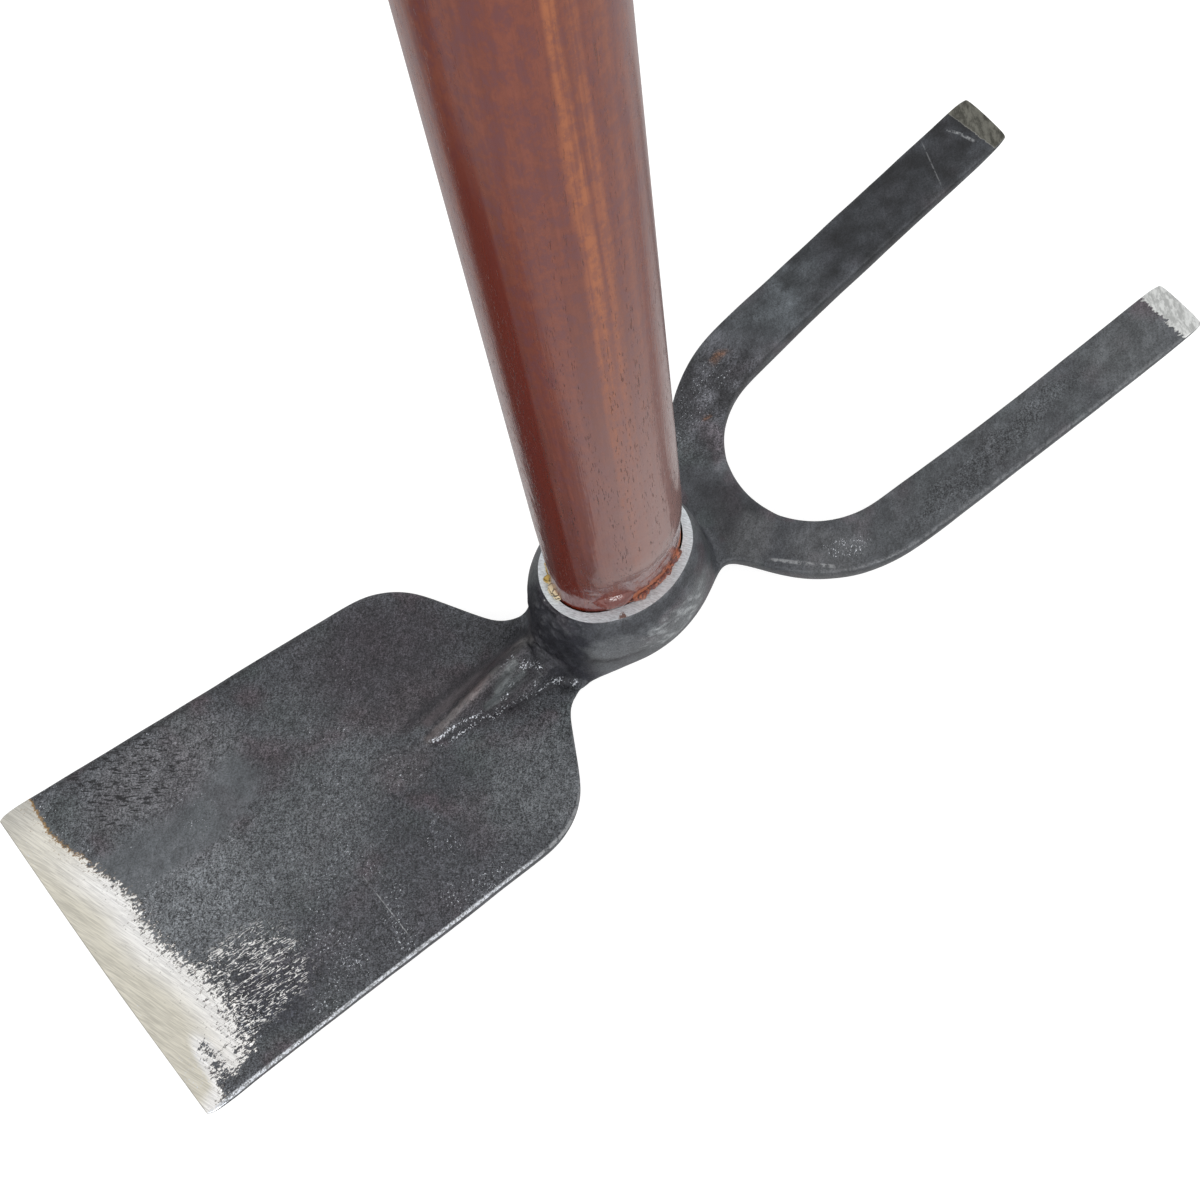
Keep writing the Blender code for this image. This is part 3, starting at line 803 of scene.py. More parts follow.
# Bare steel: ground long ago, and freshly with a painted highlight on it; in the far corner; a
# painted shade line along the very edge; on tips and rim
OLD_STEEL = (0.70, 0.67, 0.58)
FRESH_STEEL_HIGHLIT = (0.94, 0.93, 0.91)
DULL_STEEL = (0.46, 0.45, 0.42)
CUTTING_EDGE_SHADE = (0.16, 0.15, 0.13)
PLUS_TIP_STEEL = (0.120, 0.118, 0.102)
MINUS_TIP_STEEL = (0.56, 0.57, 0.56)
RIM_STEEL = (0.70, 0.74, 0.77)
# The heat's tints beside the ground end, and a spot of rust on the rim
SCORCHED_BROWN = (0.120, 0.082, 0.050)
SCORCHED_STRAW = (0.330, 0.190, 0.055)
RUST = (0.210, 0.095, 0.060)
RUST_PLACE = (-7.2, -11.3, EYE_HEIGHT)
# Single scratches on the plan, the last a painted highlight line along the yoke's outer edge:
# start, end, half width and share
SCRATCHES_AND_YOKE_HIGHLIGHT = ((-76.7, -15.0, -76.7, -33.0, 0.10, 1.0), (112.3, 35.0, 108.0, 23.5, 0.13, 0.4),
             (117.6, 33.4, 119.4, 30.0, 0.28, 1.0), (119.2, 30.4, 120.2, 26.6, 0.32, 1.0),
             (26.5, -14.0, 36.5, -25.5, 0.35, 1.0))


def new_group(name, kind, inputs, outputs):
    """A node group. An input is given by its first value, or by its sort where it has none."""
    tree = bpy.data.node_groups.new(name, kind)
    for label, value in inputs.items():
        sort = value if isinstance(value, str) else type(value).__name__.title()
        made = tree.interface.new_socket(name=label, in_out="INPUT", socket_type="NodeSocket" + sort)
        if value != sort:
            made.default_value = value
    for label, sort in outputs.items():
        tree.interface.new_socket(name=label, in_out="OUTPUT", socket_type="NodeSocket" + sort)
    given = {socket.name: Reading(socket) for socket in tree.nodes.new("NodeGroupInput").outputs if socket.name}
    return tree, given, tree.nodes.new("NodeGroupOutput")


def use_group(tree, group, inputs):
    first = add(tree, "ShaderNodeGroup", inputs, node_tree=group)
    return {socket.name: Reading(socket) for socket in first.socket.node.outputs}


def most(first, *others):
    for other in others:
        first = calc("MAXIMUM", first, other)
    return first


def tint(share, base, colour):
    """Lay this share of a colour over the base."""
    return add(tree_of(share, base, colour), "ShaderNodeMix", {0: share, 6: base, 7: colour}, 2,
               data_type="RGBA")


def stretched(place, sizes, turn=0.0, centre=(0.0, 0.0, 0.0)):
    """Coordinates that count in these sizes, turned about Z."""
    return add(place.tree, "ShaderNodeMapping",
               {"Vector": place, "Location": centre, "Rotation": (0.0, 0.0, math.radians(turn)),
                "Scale": sizes}, vector_type="TEXTURE")


def clouds(place, sizes, turn=0.0, detail=2.0, roughness=0.5, distortion=0.0, centre=(0.0, 0.0, 0.0)):
    """Noise whose lumps have these sizes in millimetres."""
    return add(place.tree, "ShaderNodeTexNoise",
               {"Vector": stretched(place, sizes, turn, centre), "Scale": 1.0, "Detail": detail,
                "Roughness": roughness, "Distortion": distortion}, "Fac")


def threads(place, sizes, width, **more):
    """Thin wandering lines, where a noise passes its middle value."""
    return ramp(abs(clouds(place, sizes, **more) - 0.5), width, width * 0.3)


def object_place(tree):
    """The point on the piece, in millimetres, with its three coordinates."""
    place = scaled(add(tree, "ShaderNodeTexCoord", output="Object"), 1 / MM)
    return place, *split(place)


def stored(tree, name, output="Color"):
    return add(tree, "ShaderNodeAttribute", output=output, attribute_name=name)


def relief(height):
    """The fine bumps of a height in millimetres."""
    return add(height.tree, "ShaderNodeBump", {"Strength": 1.0, "Distance": MM, "Height": height})


def forging_scale_group():
    tree, given, result = new_group("Forging_scale", "ShaderNodeTree", {"Place": "Vector", "Grain": 0.7},
                                    {"Tone": "Float", "Glints": "Float", "Cracks": "Float"})
    place = scaled(given["Place"], 1.0 / given["Grain"])
    fine = clouds(place, (0.9, 0.9, 0.9), roughness=0.8)
    flakes = clouds(place, (2.8, 1.4, 1.6), turn=48.0, detail=3.0, roughness=0.65, centre=(3.0, 9.0, 5.0))
    sharp = clouds(place, (1.4, 1.05, 1.2), turn=20.0, roughness=0.8, centre=(11.0, 4.0, 2.0))
    cracks = threads(place, (3.6, 1.7, 1.8), 0.036, turn=-30.0, roughness=0.7)
    cracked = ramp(clouds(place, (5.0, 4.0, 5.0)), 0.44, 0.54)
    feed(result, {"Tone": fine * 0.65 + flakes * 0.35, "Glints": sharp, "Cracks": cracks * cracked})
    return tree


def wheel_scratches_group():
    tree, given, result = new_group("Wheel_scratches", "ShaderNodeTree", {"Place": "Vector"}, {"Tone": "Float"})
    long = clouds(given["Place"], (14.0, 0.40, 0.40), detail=4.0, roughness=0.75)
    short = clouds(given["Place"], (5.0, 0.16, 0.16), detail=1.0, turn=5.0, centre=(5.0, 2.0, 0.0))
    feed(result, {"Tone": long * 0.6 + short * 0.4})
    return tree


scale_group = forging_scale_group()
scratch_group = wheel_scratches_group()


# Where the wheel's work ends on the blade's top, width across and reach, and how far the ragged
# border runs to and fro there
GROUND_BORDER = ((-36.5, 122.5), (-34.5, 120.5), (-32.6, 117.5), (-31.0, 113.2), (-28.5, 112.0), (-23.0, 111.4),
                 (-17.0, 111.3), (-12.0, 111.9), (-8.0, 112.9), (-5.0, 113.9), (0.0, 114.1), (3.5, 114.5),
                 (6.0, 113.4), (9.5, 114.0), (12.0, 114.3), (14.5, 115.4), (18.0, 116.1), (21.5, 117.1),
                 (25.0, 118.3), (28.0, 118.7), (32.0, 118.3), (35.0, 118.0))
TEETH = ((-36.0, 4.0), (-32.0, 14.0), (-26.0, 16.0), (-20.0, 12.0), (-12.0, 8.5), (0.0, 7.0), (10.0, 5.5),
         (16.0, 4.5), (22.0, 2.6), (28.0, 1.4), (36.0, 1.0))
# A strip inside the ground end that the wheel hardly touched: centre, half sizes and set-back
MISSED = ((-119.0, -28.0), (2.0, 5.5), 6.5)


def ground_edge(place, past, reach, y, top, pits):
    """The ground end of the blade's top with its ragged border, and the heat tint round its teeth."""
    teeth = clouds(place, (1.6, 0.42, 1.0), turn=4.0, roughness=0.7, distortion=0.6)
    blots = clouds(place, (0.9, 0.7, 1.0), detail=3.0, roughness=0.8, centre=(4.0, 1.0, 0.0))
    ragged = teeth * 0.9 + blots * 1.6 - 1.25
    depth = past + ragged * reach
    dots = ramp(pits - calc("MINIMUM", depth, 5.0) * 0.022, 0.585, 0.625)
    bare = ramp(depth, -0.13, 0.13) * (1.0 - dots * 0.7) * top
    rind = ramp(depth, -0.7, -0.15) * top
    return bare, rind, tint(ramp(y, 10.0, 26.0), SCORCHED_BROWN, SCORCHED_STRAW)


# The oxide's colours: dullest and lightest, reddish, greenish, in the blade's darker part,
# and in the worn streaks on the eye's wall, lightened there as painted highlight
OXIDE = ((0.061, 0.065, 0.073), (0.092, 0.098, 0.108))
RED_OXIDE = (0.088, 0.064, 0.075)
GREEN_OXIDE = (0.066, 0.080, 0.080)
SHADED_OXIDE = (0.096, 0.105, 0.114)
STREAK_SHEEN_GREY = (0.310, 0.325, 0.335)
# Clouds in it: centre, half sizes, turn, share, and the colour there. The darkest, where the
# necks of the blade and the fork meet the eye, are painted shade in those concave joints
SCALE_CLOUDS_AND_NECK_SHADE = (
    ((-95.0, 25.0), (15.0, 8.0), 0.0, 0.80, (0.130, 0.130, 0.140)),
    ((-86.0, -2.0), (26.0, 10.0), 8.0, 0.80, (0.114, 0.123, 0.132)),
    ((-106.0, 0.0), (13.0, 13.0), 0.0, 0.85, (0.160, 0.172, 0.184)),
    ((-64.0, 19.0), (10.0, 7.0), 0.0, 0.70, (0.074, 0.081, 0.087)),
    ((-77.0, 13.0), (7.0, 4.0), 20.0, 0.50, (0.070, 0.058, 0.066)),
    ((-47.0, 20.0), (16.0, 12.0), -10.0, 0.85, (0.047, 0.043, 0.051)),
    ((-50.0, 8.0), (14.0, 4.0), -6.0, 0.50, (0.060, 0.047, 0.052)),
    ((-58.0, -4.0), (7.0, 4.5), 0.0, 0.55, (0.082, 0.074, 0.080)),
    ((-70.0, -26.0), (20.0, 9.0), 0.0, 0.75, (0.068, 0.070, 0.080)),
    ((-92.0, -26.0), (18.0, 9.0), 0.0, 0.60, (0.074, 0.077, 0.086)),
    ((-103.0, -25.0), (9.0, 6.0), 0.0, 0.70, (0.032, 0.034, 0.046)),
    ((-38.0, -21.0), (13.0, 11.0), 0.0, 0.85, (0.120, 0.129, 0.138)),
    ((-26.0, 12.0), (6.0, 4.0), 0.0, 0.70, (0.040, 0.040, 0.046)),
    ((-35.0, 1.0), (12.0, 6.5), -4.0, 0.85, (0.044, 0.039, 0.045)),
    ((-20.0, 0.0), (5.0, 9.0), 0.0, 0.90, (0.020, 0.020, 0.026)),
    ((-16.0, -8.5), (3.6, 4.0), 0.0, 0.80, (0.018, 0.018, 0.026)),
    ((97.0, 30.0), (36.0, 11.0), 3.0, 0.95, (0.022, 0.024, 0.028)),
    ((62.0, 27.0), (14.0, 5.0), 3.0, 0.80, (0.060, 0.068, 0.075)),
    ((44.0, 22.0), (14.0, 12.0), -20.0, 0.80, (0.056, 0.056, 0.064)),
    ((62.0, -29.0), (44.0, 9.0), -2.0, 0.85, (0.066, 0.071, 0.077)),
    ((110.0, -30.0), (9.0, 9.0), 0.0, 0.60, (0.092, 0.098, 0.102)),
    ((28.0, 0.0), (5.0, 9.0), 0.0, 0.75, (0.026, 0.027, 0.031)),
    ((27.0, -9.0), (4.0, 5.0), 30.0, 0.70, (0.098, 0.100, 0.106)),
    ((36.0, -22.0), (7.0, 7.0), -45.0, 0.70, (0.100, 0.104, 0.110)),
    ((48.5, 25.2), (2.6, 1.1), 0.0, 0.85, (0.130, 0.060, 0.030)),
    ((37.0, 17.0), (0.9, 0.7), 0.0, 0.85, (0.130, 0.060, 0.030)))
# Smooth facets by the rib: start, end, half width, and colour. The crest's lighter brown ones
# are partly painted highlight where it faces up; the last, dark one is painted shade on the
# rib's left flank
SMOOTH_FACETS_LIT_AND_SHADED = (
    (-33.4, -2.0, -27.6, -0.7, 0.9, (0.082, 0.090, 0.092)),
    (-37.0, -2.8, -27.0, -2.6, 0.6, (0.078, 0.086, 0.089)),
    (-50.0, -0.9, -34.0, 1.2, 0.9, (0.092, 0.078, 0.078)),
    (-38.5, 0.4, -33.0, 1.2, 1.0, (0.115, 0.092, 0.092)),
    (-32.0, 1.2, -31.0, 1.2, 0.9, (0.120, 0.116, 0.117)),
    (-27.0, 3.2, -22.5, 2.8, 1.6, (0.085, 0.078, 0.078)),
    (-48.0, 2.2, -26.0, 4.8, 1.2, (0.062, 0.052, 0.057)))
# Bright pinpoints: start, end, half width, and the share of the grains that shine
GLINT_LINES = ((-49.7, -1.7, -44.5, -2.0, 0.45, 0.72), (-44.5, -2.0, -38.8, -2.9, 0.30, 0.66),
               (-48.8, -3.4, -43.6, -3.7, 0.28, 0.62), (-43.6, -3.7, -37.3, -4.5, 0.28, 0.58),
               (-37.3, -4.5, -31.5, -5.1, 0.30, 0.52), (-31.5, -5.1, -22.3, -5.9, 0.36, 0.55),
               (-26.6, -1.9, -24.0, -2.6, 0.80, 0.62), (-26.6, -4.9, -26.2, -4.9, 0.45, 0.70),
               (-22.8, -5.8, -21.6, -6.2, 0.50, 0.68), (-20.2, -8.6, -19.2, -8.6, 0.45, 0.68),
               (-33.5, -3.2, -30.0, -2.6, 0.35, 0.55), (-30.0, 0.4, -27.0, 0.8, 0.40, 0.50),
               (38.0, -22.0, 43.0, -25.0, 1.60, 0.30), (30.0, 20.0, 45.0, 24.0, 4.00, 0.08))
# A crack in the scale beside the rib, on the plan
RIB_CRACK = ((-65.0, 0.5), (-54.0, 0.3), (-45.4, 0.3), (-36.0, 2.1), (-21.5, 3.6))
# Patches on the eye's wall: degrees round it and height, half sizes, share, and colour. The
# first, a smooth glossy flat, is partly painted highlight; the second is a painted highlight
# band where the wall faces the low front light; the fourth is painted shade under the rim
EYE_PATCHES_AND_PAINTED_LIGHT = (((-130.0, 19.6), (18.0, 4.4), 0.95, (0.108, 0.115, 0.124)),
               ((-74.0, 16.5), (36.0, 6.5), 0.80, (0.140, 0.150, 0.158)),
               ((-105.0, 9.0), (22.0, 3.5), 0.60, (0.085, 0.091, 0.100)),
               ((-110.0, 26.0), (60.0, 2.2), 0.85, (0.046, 0.049, 0.056)),
               ((-132.0, 14.9), (17.0, 0.9), 0.95, (0.016, 0.016, 0.020)))
# Worn streaks on that wall, lightened as painted highlight: middle and half sizes
EYE_STREAKS_WORN_AND_LIT = ((-86.0, 16.5), (32.0, 6.0))
# Parts of the fork that are as grainy as the blade: centre, half sizes and turn
ROUGH_PATCHES = (((40.0, 20.0), (15.0, 12.0), 30.0), ((76.0, -28.5), (26.0, 3.0), 2.0))
# Where the smoother, darker part of the blade ends, along its length
SHADE_LINE = ((-113.0, 6.0), (-105.0, 6.2), (-96.0, 6.5), (-90.0, 7.3), (-83.0, 9.4), (-78.0, 12.0))


def oval(x, y, centre, half_sizes, turn, soft=0.5):
    """1 inside an oval on the plan, falling to 0 at its border."""
    angle = math.radians(turn)
    along = (x - centre[0]) * math.cos(angle) + (y - centre[1]) * math.sin(angle)
    across = (y - centre[1]) * math.cos(angle) - (x - centre[0]) * math.sin(angle)
    return step(np.hypot(along / half_sizes[0], across / half_sizes[1]), 1 + soft, 1 - soft)


def curve(value, points):
    """The height of a line through these points."""
    return np.interp(value, *zip(*points))


def paint(colour, share, oxide):
    return colour + (np.array(oxide) - colour) * share[:, None]


def store(mesh, name, columns):
    layer = mesh.attributes.new(name, "FLOAT_COLOR", "POINT")
    layer.data.foreach_set("color", np.column_stack(columns).astype(np.float32).ravel())


def slow_oxide(co, wide, shaded):
    """The oxide's slow colours, with its clouds, its darker part, and painted shade along the
    rounded far edge of the blade.
    """
    x, y, _ = co.T
    colour = paint(np.tile(OXIDE[0], (len(co), 1)), step(rough_field(co, 20.0, 4), -0.35, 0.35), OXIDE[1])
    colour = paint(colour, step(rough_field(co, 8.0, 4, 80.0), 0.0, 0.45) * 0.6, RED_OXIDE)
    colour = paint(colour, step(rough_field(co, 10.0, 4, 130.0), 0.05, 0.45) * 0.5, GREEN_OXIDE)
    # The clouds, with painted shade where the necks meet the eye
    for centre, half_sizes, turn, share, oxide in SCALE_CLOUDS_AND_NECK_SHADE:
        colour = paint(colour, oval(*wide, centre, half_sizes, turn) * share, oxide)
    colour = paint(colour, shaded * 0.75, SHADED_OXIDE)
    # Painted shade along the rounding of the blade's far edge
    far_edge_shade = step(y + SIDE_FLARE * x, 30.4, 31.7) * step(x, -48.0, -58.0)
    return colour * (1 - 0.42 * far_edge_shade)[:, None]


def eye_oxide(co, colour, on_wall):
    """The patches on the eye's wall, with their painted highlight and shade, and its worn streaks
    lightened as painted highlight; the first patch is glossy too.
    """
    x, y, z = co.T
    around = np.degrees(np.arctan2(y, x)) + rough_field(co, 4.0, 3) * 8.0
    ragged_z = z + rough_field(co * (1.0, 1.0, 0.4), 2.0, 3) * 1.2
    for centre, half_sizes, share, oxide in EYE_PATCHES_AND_PAINTED_LIGHT:
        colour = paint(colour, oval(around, ragged_z, centre, half_sizes, 0.0, 0.25) * share * on_wall, oxide)
    gloss = 0.5 * oval(around, ragged_z, *EYE_PATCHES_AND_PAINTED_LIGHT[0][:2], 0.0, 0.25) * on_wall
    # Worn streaks, lightened as a painted highlight where the wall faces the low front light
    worn_sheen_streaks = step(rough_field(np.column_stack([around / 2.6, z / 6.0, z * 0]), 1.1, 3), 0.02, 0.30)
    worn_sheen_streaks = worn_sheen_streaks * oval(around, ragged_z, *EYE_STREAKS_WORN_AND_LIT, 0.0, 0.2) * on_wall
    return paint(colour, worn_sheen_streaks * 0.92, STREAK_SHEEN_GREY), gloss


def groove_field(co, top):
    """How deep a point lies in a groove, or in the broken crack beside the rib."""
    x, y, _ = co.T
    groove = np.zeros(len(co))
    for *line, half, depth in GROOVES:
        groove = np.maximum(groove, stroke(x, y, *line, half) * top * depth / 0.4)
    wavy_y = y + rough_field(co, 2.0, 3, 60.0) * 0.7
    patchy = step(rough_field(co, 1.4, 2, 15.0), -0.25, 0.15)
    for start, end in zip(RIB_CRACK, RIB_CRACK[1:]):
        groove = np.maximum(groove, stroke(x, wavy_y, *start, *end, 0.42) * top * patchy)
    return groove


def sparkle_field(co, top):
    """The share of the grains that shine: few on the blade, many along the glint lines."""
    x, y, _ = co.T
    clustered = step(rough_field(co, 7.0, 3, 33.0), -0.05, 0.35)
    sparkle = (0.05 * clustered + 0.12 * step(y, -8.0, -32.0) * clustered) * top * step(x, -44.0, -60.0)
    for *line, half, share in GLINT_LINES:
        sparkle = np.maximum(sparkle, stroke(x, y, *line, half) * top * share)
    return sparkle


def wheel_field(x, y):
    """How far a point lies past the ground border, how ragged that is, and the rubbed patch."""
    centre, half_sizes, set_back = MISSED
    past = -x - curve(y, GROUND_BORDER) - set_back * oval(x, y, centre, half_sizes, 0.0)
    rubbed = step(x, -91.0, -104.0) * step(y, -9.0, -17.0) * step(y, -30.0, -22.0)
    return past, curve(y, TEETH), rubbed


def mark_oxide(mesh):
    """Store the oxide's colours, with painted light and shade laid into them, its finish, and the wheel's work,
    at each point.

    The finish is its grit, gloss, grooves and share of glints.
    """
    co, normal = points_of(mesh)
    x, y, z = co.T
    top = step(normal[:, 2], 0.1, 0.6)
    on_eye = step(np.hypot(x, y), 25.0, 19.0) * step(z, 3.0, 8.0)
    wide = (x + rough_field(co, 9.0, 3) * 3.0, y + rough_field(co, 9.0, 3, 40.0) * 3.0)
    beyond = y - curve(x, SHADE_LINE)
    shaded = step(beyond, -0.5, 0.7) * step(beyond, 15.0, 8.0) * step(x, -76.0, -84.0)

    colour, gloss = eye_oxide(co, slow_oxide(co, wide, shaded), on_eye * step(np.abs(normal[:, 2]), 0.6, 0.4))
    blotched = step(x, 22.0, 40.0) * (0.35 + 0.65 * step(y, 0.0, 12.0))
    colour = colour * (1 + np.clip(rough_field(co, 4.0, 4, 20.0), -0.5, 0.8) * blotched)[:, None]
    # Facets by the rib, with painted highlight on the crest and painted shade on its left flank
    for *line, half, oxide in SMOOTH_FACETS_LIT_AND_SHADED:
        share = stroke(x, y, *line, half) * top
        colour = paint(colour, np.clip(share * 1.3, 0, 0.9), oxide)
        gloss = np.maximum(gloss, share)

    past, reach, rubbed = wheel_field(x, y)
    smooth = np.maximum(np.maximum(step(x, 10.0, 24.0), on_eye), 0.95 * shaded)
    for centre, half_sizes, turn in ROUGH_PATCHES:
        smooth = smooth - 0.75 * oval(*wide, centre, half_sizes, turn)
    grit = (0.42 - 0.30 * smooth) * (1 - 0.8 * gloss) * (1 - step(past, -2.0, 0.5) * top)
    # The oxide colours, with the painted light and shade laid into them
    store(mesh, "oxide", [colour, np.ones(len(co))])
    store(mesh, "finish", [grit, gloss, groove_field(co, top), sparkle_field(co, top)])
    store(mesh, "wheel", [past, reach, rubbed, np.ones(len(co))])


def ground_parts(place, x, y, z, top, facing):
    """Masks for what the wheel ground besides the blade's end: two tips and the rim."""
    jagged = (clouds(place, (1.2, 0.5, 1.0), turn=-20.0, detail=3.0) - 0.5) * 3.2
    slant = x + jagged * 0.2 + y * 0.11
    plus_tip = ramp(slant, 124.5, 124.8) * ramp(y, -1.0, 1.0) * top
    minus_tip = ramp(x + jagged, 119.7, 120.0) * ramp(y, 1.0, -1.0) * top
    rim = ramp(z + jagged * 0.25, 27.4, 27.6) * ramp(facing, 0.75, 0.9)
    return plus_tip, minus_tip, rim


def scratch_mark(x, y, x0, y0, x1, y1, half):
    """A thin straight line on the plan, for a scratch and for the painted highlight on the yoke's edge."""
    long = math.dist((x0, y0), (x1, y1))
    run_x, run_y = (x1 - x0) / long, (y1 - y0) / long
    along = x * run_x + y * run_y - (x0 * run_x + y0 * run_y + long / 2)
    across = y * run_x - x * run_y + (x0 * run_y - y0 * run_x)
    return ramp(abs(across), half * 1.6, half * 0.4) * ramp(abs(along), long / 2, long / 2 * 0.7)


def scale_colour(place, x, y, scale, grit, groove):
    """The oxide: its slow colours with their painted light and shade, then blotches, grain, cracks,
    dashes and grooves.
    """
    blotch = ramp(clouds(place, (4.0, 2.5, 3.0), turn=30.0, detail=4.0, roughness=0.65), 0.36, 0.64, 0.84, 1.20)
    coarse = ramp(grit, 0.12, 0.42)
    mottle = (scale["Tone"] - 0.5) * ramp(coarse, 0.0, 1.0, 3.2, 7.6) + 1.0
    colour = scaled(stored(place.tree, "oxide"), most(mottle, 0.2) * blotch)
    cracks = scale["Cracks"] * ramp(coarse, 0.0, 1.0, 0.2, 0.85)
    pits = ramp(scale["Glints"], 0.41, 0.37) * coarse * 0.55
    colour = tint(most(cracks, pits), colour, PIT_BLACK)
    dashes = ramp(clouds(place, (2.0, 0.50, 1.0), turn=-35.0, detail=1.0), 0.42, 0.38)
    dashes = dashes * ramp(x, -86.0, -92.0) * ramp(x, -114.0, -109.0) * ramp(y, 17.0, 22.0)
    colour = tint(dashes * 0.9, colour, DASH_BLACK)
    scored = threads(place, (12.0, 0.8, 1.0), 0.030, turn=-33.0, roughness=0.6, centre=(2.0, 7.0, 0.0))
    scored = scored * ramp(blotch, 0.95, 1.10) * ramp(y, 4.0, -6.0) * ramp(x, -40.0, -60.0)
    colour = tint(scored * 0.5, colour, GROOVE_BLACK)
    return tint(groove * 0.75, colour, GROOVE_BLACK)


def bare_steel(place, x, y, past, broken, plus_tip, minus_tip, rim):
    """What the wheel left: brightest where it ground last, with a painted highlight there, with its
    scratches along the edge, and a painted shade line at the very edge.
    """
    along_edge = use_group(place.tree, scratch_group, {"Place": stretched(place, (1.0, 1.0, 1.0), 106.0)})
    # Freshly ground steel near the border, lightened further as a painted highlight
    fresh_and_highlit = ramp(past, 8.0, 2.0) * ramp(y, 27.0, 10.0, 0.25, 1.0)
    steel = tint(fresh_and_highlit, OLD_STEEL, FRESH_STEEL_HIGHLIT)
    steel = tint(ramp(y, 27.0, 35.0, 0.0, 0.55), steel, DULL_STEEL)
    steel = scaled(steel, ramp(along_edge["Tone"], 0.36, 0.64, 0.76, 1.10))
    # A painted shade line along the very cutting edge
    bowed = x - y * y * 0.00031
    steel = tint(ramp(bowed, -124.76, -124.90, 0.0, 0.5), steel, CUTTING_EDGE_SHADE)
    blurred = ramp(clouds(place, (2.6, 1.2, 1.0), turn=60.0, detail=4.0, roughness=0.7), 0.36, 0.64, 0.62, 1.5)
    steel = tint(plus_tip, steel, scaled(PLUS_TIP_STEEL, blurred))
    steel = tint(minus_tip, steel, scaled(MINUS_TIP_STEEL, ramp(blurred, 0.62, 1.5, 0.8, 1.3)))
    strokes = clouds(place, (1.3, 0.18, 1.0), turn=-55.0, roughness=0.7)
    steel = tint(rim, steel, scaled(RIM_STEEL, ramp(strokes, 0.34, 0.62, 0.80, 1.16)))
    off = add(place.tree, "ShaderNodeVectorMath", {0: place, 1: RUST_PLACE}, "Value", operation="DISTANCE")
    return tint(ramp(off - broken * 0.6, 0.55, 0.1) * 0.85, steel, RUST)


def forged_steel():
    made, tree, shader = new_material("forged_steel")
    place, x, y, z = object_place(tree)
    facing = split(add(tree, "ShaderNodeTexCoord", output="Normal"))[2]
    top = ramp(facing, 0.25, 0.6)
    scale = use_group(tree, scale_group, {"Place": place, "Grain": SCALE_GRAIN})
    finish = stored(tree, "finish")
    grit, gloss, groove = split(finish, "Color")
    sparkle = finish.beside("Alpha")
    past, reach, rubbed = split(stored(tree, "wheel"), "Color")
    broken = ramp(clouds(place, (1.2, 1.2, 1.2), detail=3.0, roughness=0.7), 0.38, 0.56)

    glint = ramp(scale["Glints"] + sparkle * 0.26, 0.680, 0.705) * ramp(sparkle, 0.01, 0.06) * top
    # Pale scratches, and a painted highlight line along the yoke's outer edge
    pale = most(*(scratch_mark(x, y, *line) * share for *line, share in SCRATCHES_AND_YOKE_HIGHLIGHT)) * broken * top * 0.7
    worn = ramp(stored(tree, "worn", "Fac"), 0.20, 0.50) * broken
    worn = worn * ramp(y, -20.0, -32.0, 0.12, 1.0) * ramp(x, 0.0, 30.0, 1.0, 0.22) * ramp(facing, 0.2, 0.5)
    # Along the blade's near edge a pale line, partly wear and partly painted highlight, with glints; from here
    # on worn also carries that painted highlight
    near_edge_wear_and_highlight = ramp(y - x * SIDE_FLARE, -31.5, -31.9) * ramp(x, -45.0, -52.0) * ramp(facing, 0.30, 0.55)
    worn = most(worn, near_edge_wear_and_highlight * 0.8)
    glint = most(glint, near_edge_wear_and_highlight * ramp(scale["Glints"], 0.47, 0.52))

    blade_end, rind, scorched = ground_edge(place, past, reach, y, top, scale["Glints"])
    plus_tip, minus_tip, rim = ground_parts(place, x, y, z, top, facing)
    worms = threads(place, (3.0, 0.62, 1.0), 0.040, turn=-6.0, roughness=0.55, distortion=0.3)
    worms = worms * ramp(broken + rubbed * 0.42, 0.60, 0.82) * ramp(rubbed, 0.0, 0.3) * top
    bare = most(blade_end, plus_tip, minus_tip, rim, worms * 0.9)

    colour = tint(pale, scale_colour(place, x, y, scale, grit, groove), WORN_AND_HIGHLIT_GREY)
    colour = tint(rind * 0.75, colour, scorched)
    colour = tint(worn * 0.8, colour, WORN_AND_HIGHLIT_GREY)
    colour = tint(bare, colour, bare_steel(place, x, y, past, broken, plus_tip, minus_tip, rim))
    shiny = most(bare, worn * 0.7, glint, pale * 0.6)
    dull = ramp(scale["Tone"], 0.3, 0.7, 0.52, 0.38) - gloss * 0.14
    feed(shader, {"Base Color": tint(glint, colour, GLINT_WHITE),
                  "Metallic": ramp(shiny, 0.0, 1.0, 0.35, 1.0),
                  "Roughness": between(bare, dull, ramp(rim, 0.0, 1.0, 0.34, 0.62)),
                  "Normal": relief(scale["Tone"] * grit)})
    return made


head = forge_head()
mark_oxide(head.data)
give_finish(head, forged_steel())
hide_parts("hoe_head")
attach(head, "root")


# Handle
# A long stick of close-grained wood, turned round, with its foot shaved to the eye's oval and
# driven in. It is stained red-brown and has a thick, glossy varnish that stops at the rim.
HANDLE_RADIUS = 14.0
TENON_PLAY = 0.3
TENON = tuple(half - TENON_PLAY for half in BORE)
TENON_FOOT = tuple(half - TENON_PLAY for half in BORE_FOOT)
TENON_RECESS = 0.5
TENON_TOP = 28.8
SHOULDER_RUN = 26.0
TOOL_HEIGHT = 1200.0
BUTT_ROUNDING = 6.0
# Each wedge's length, its thickness at the foot and at its tip, and its depth
WOOD_WEDGE = (20.0, 3.6, 1.2, 20.0)
STEEL_WEDGE = (13.0, 2.6, 0.8, 13.0)
WEDGE_GAP = 0.3
SLOT_OVERRUN = 5.0
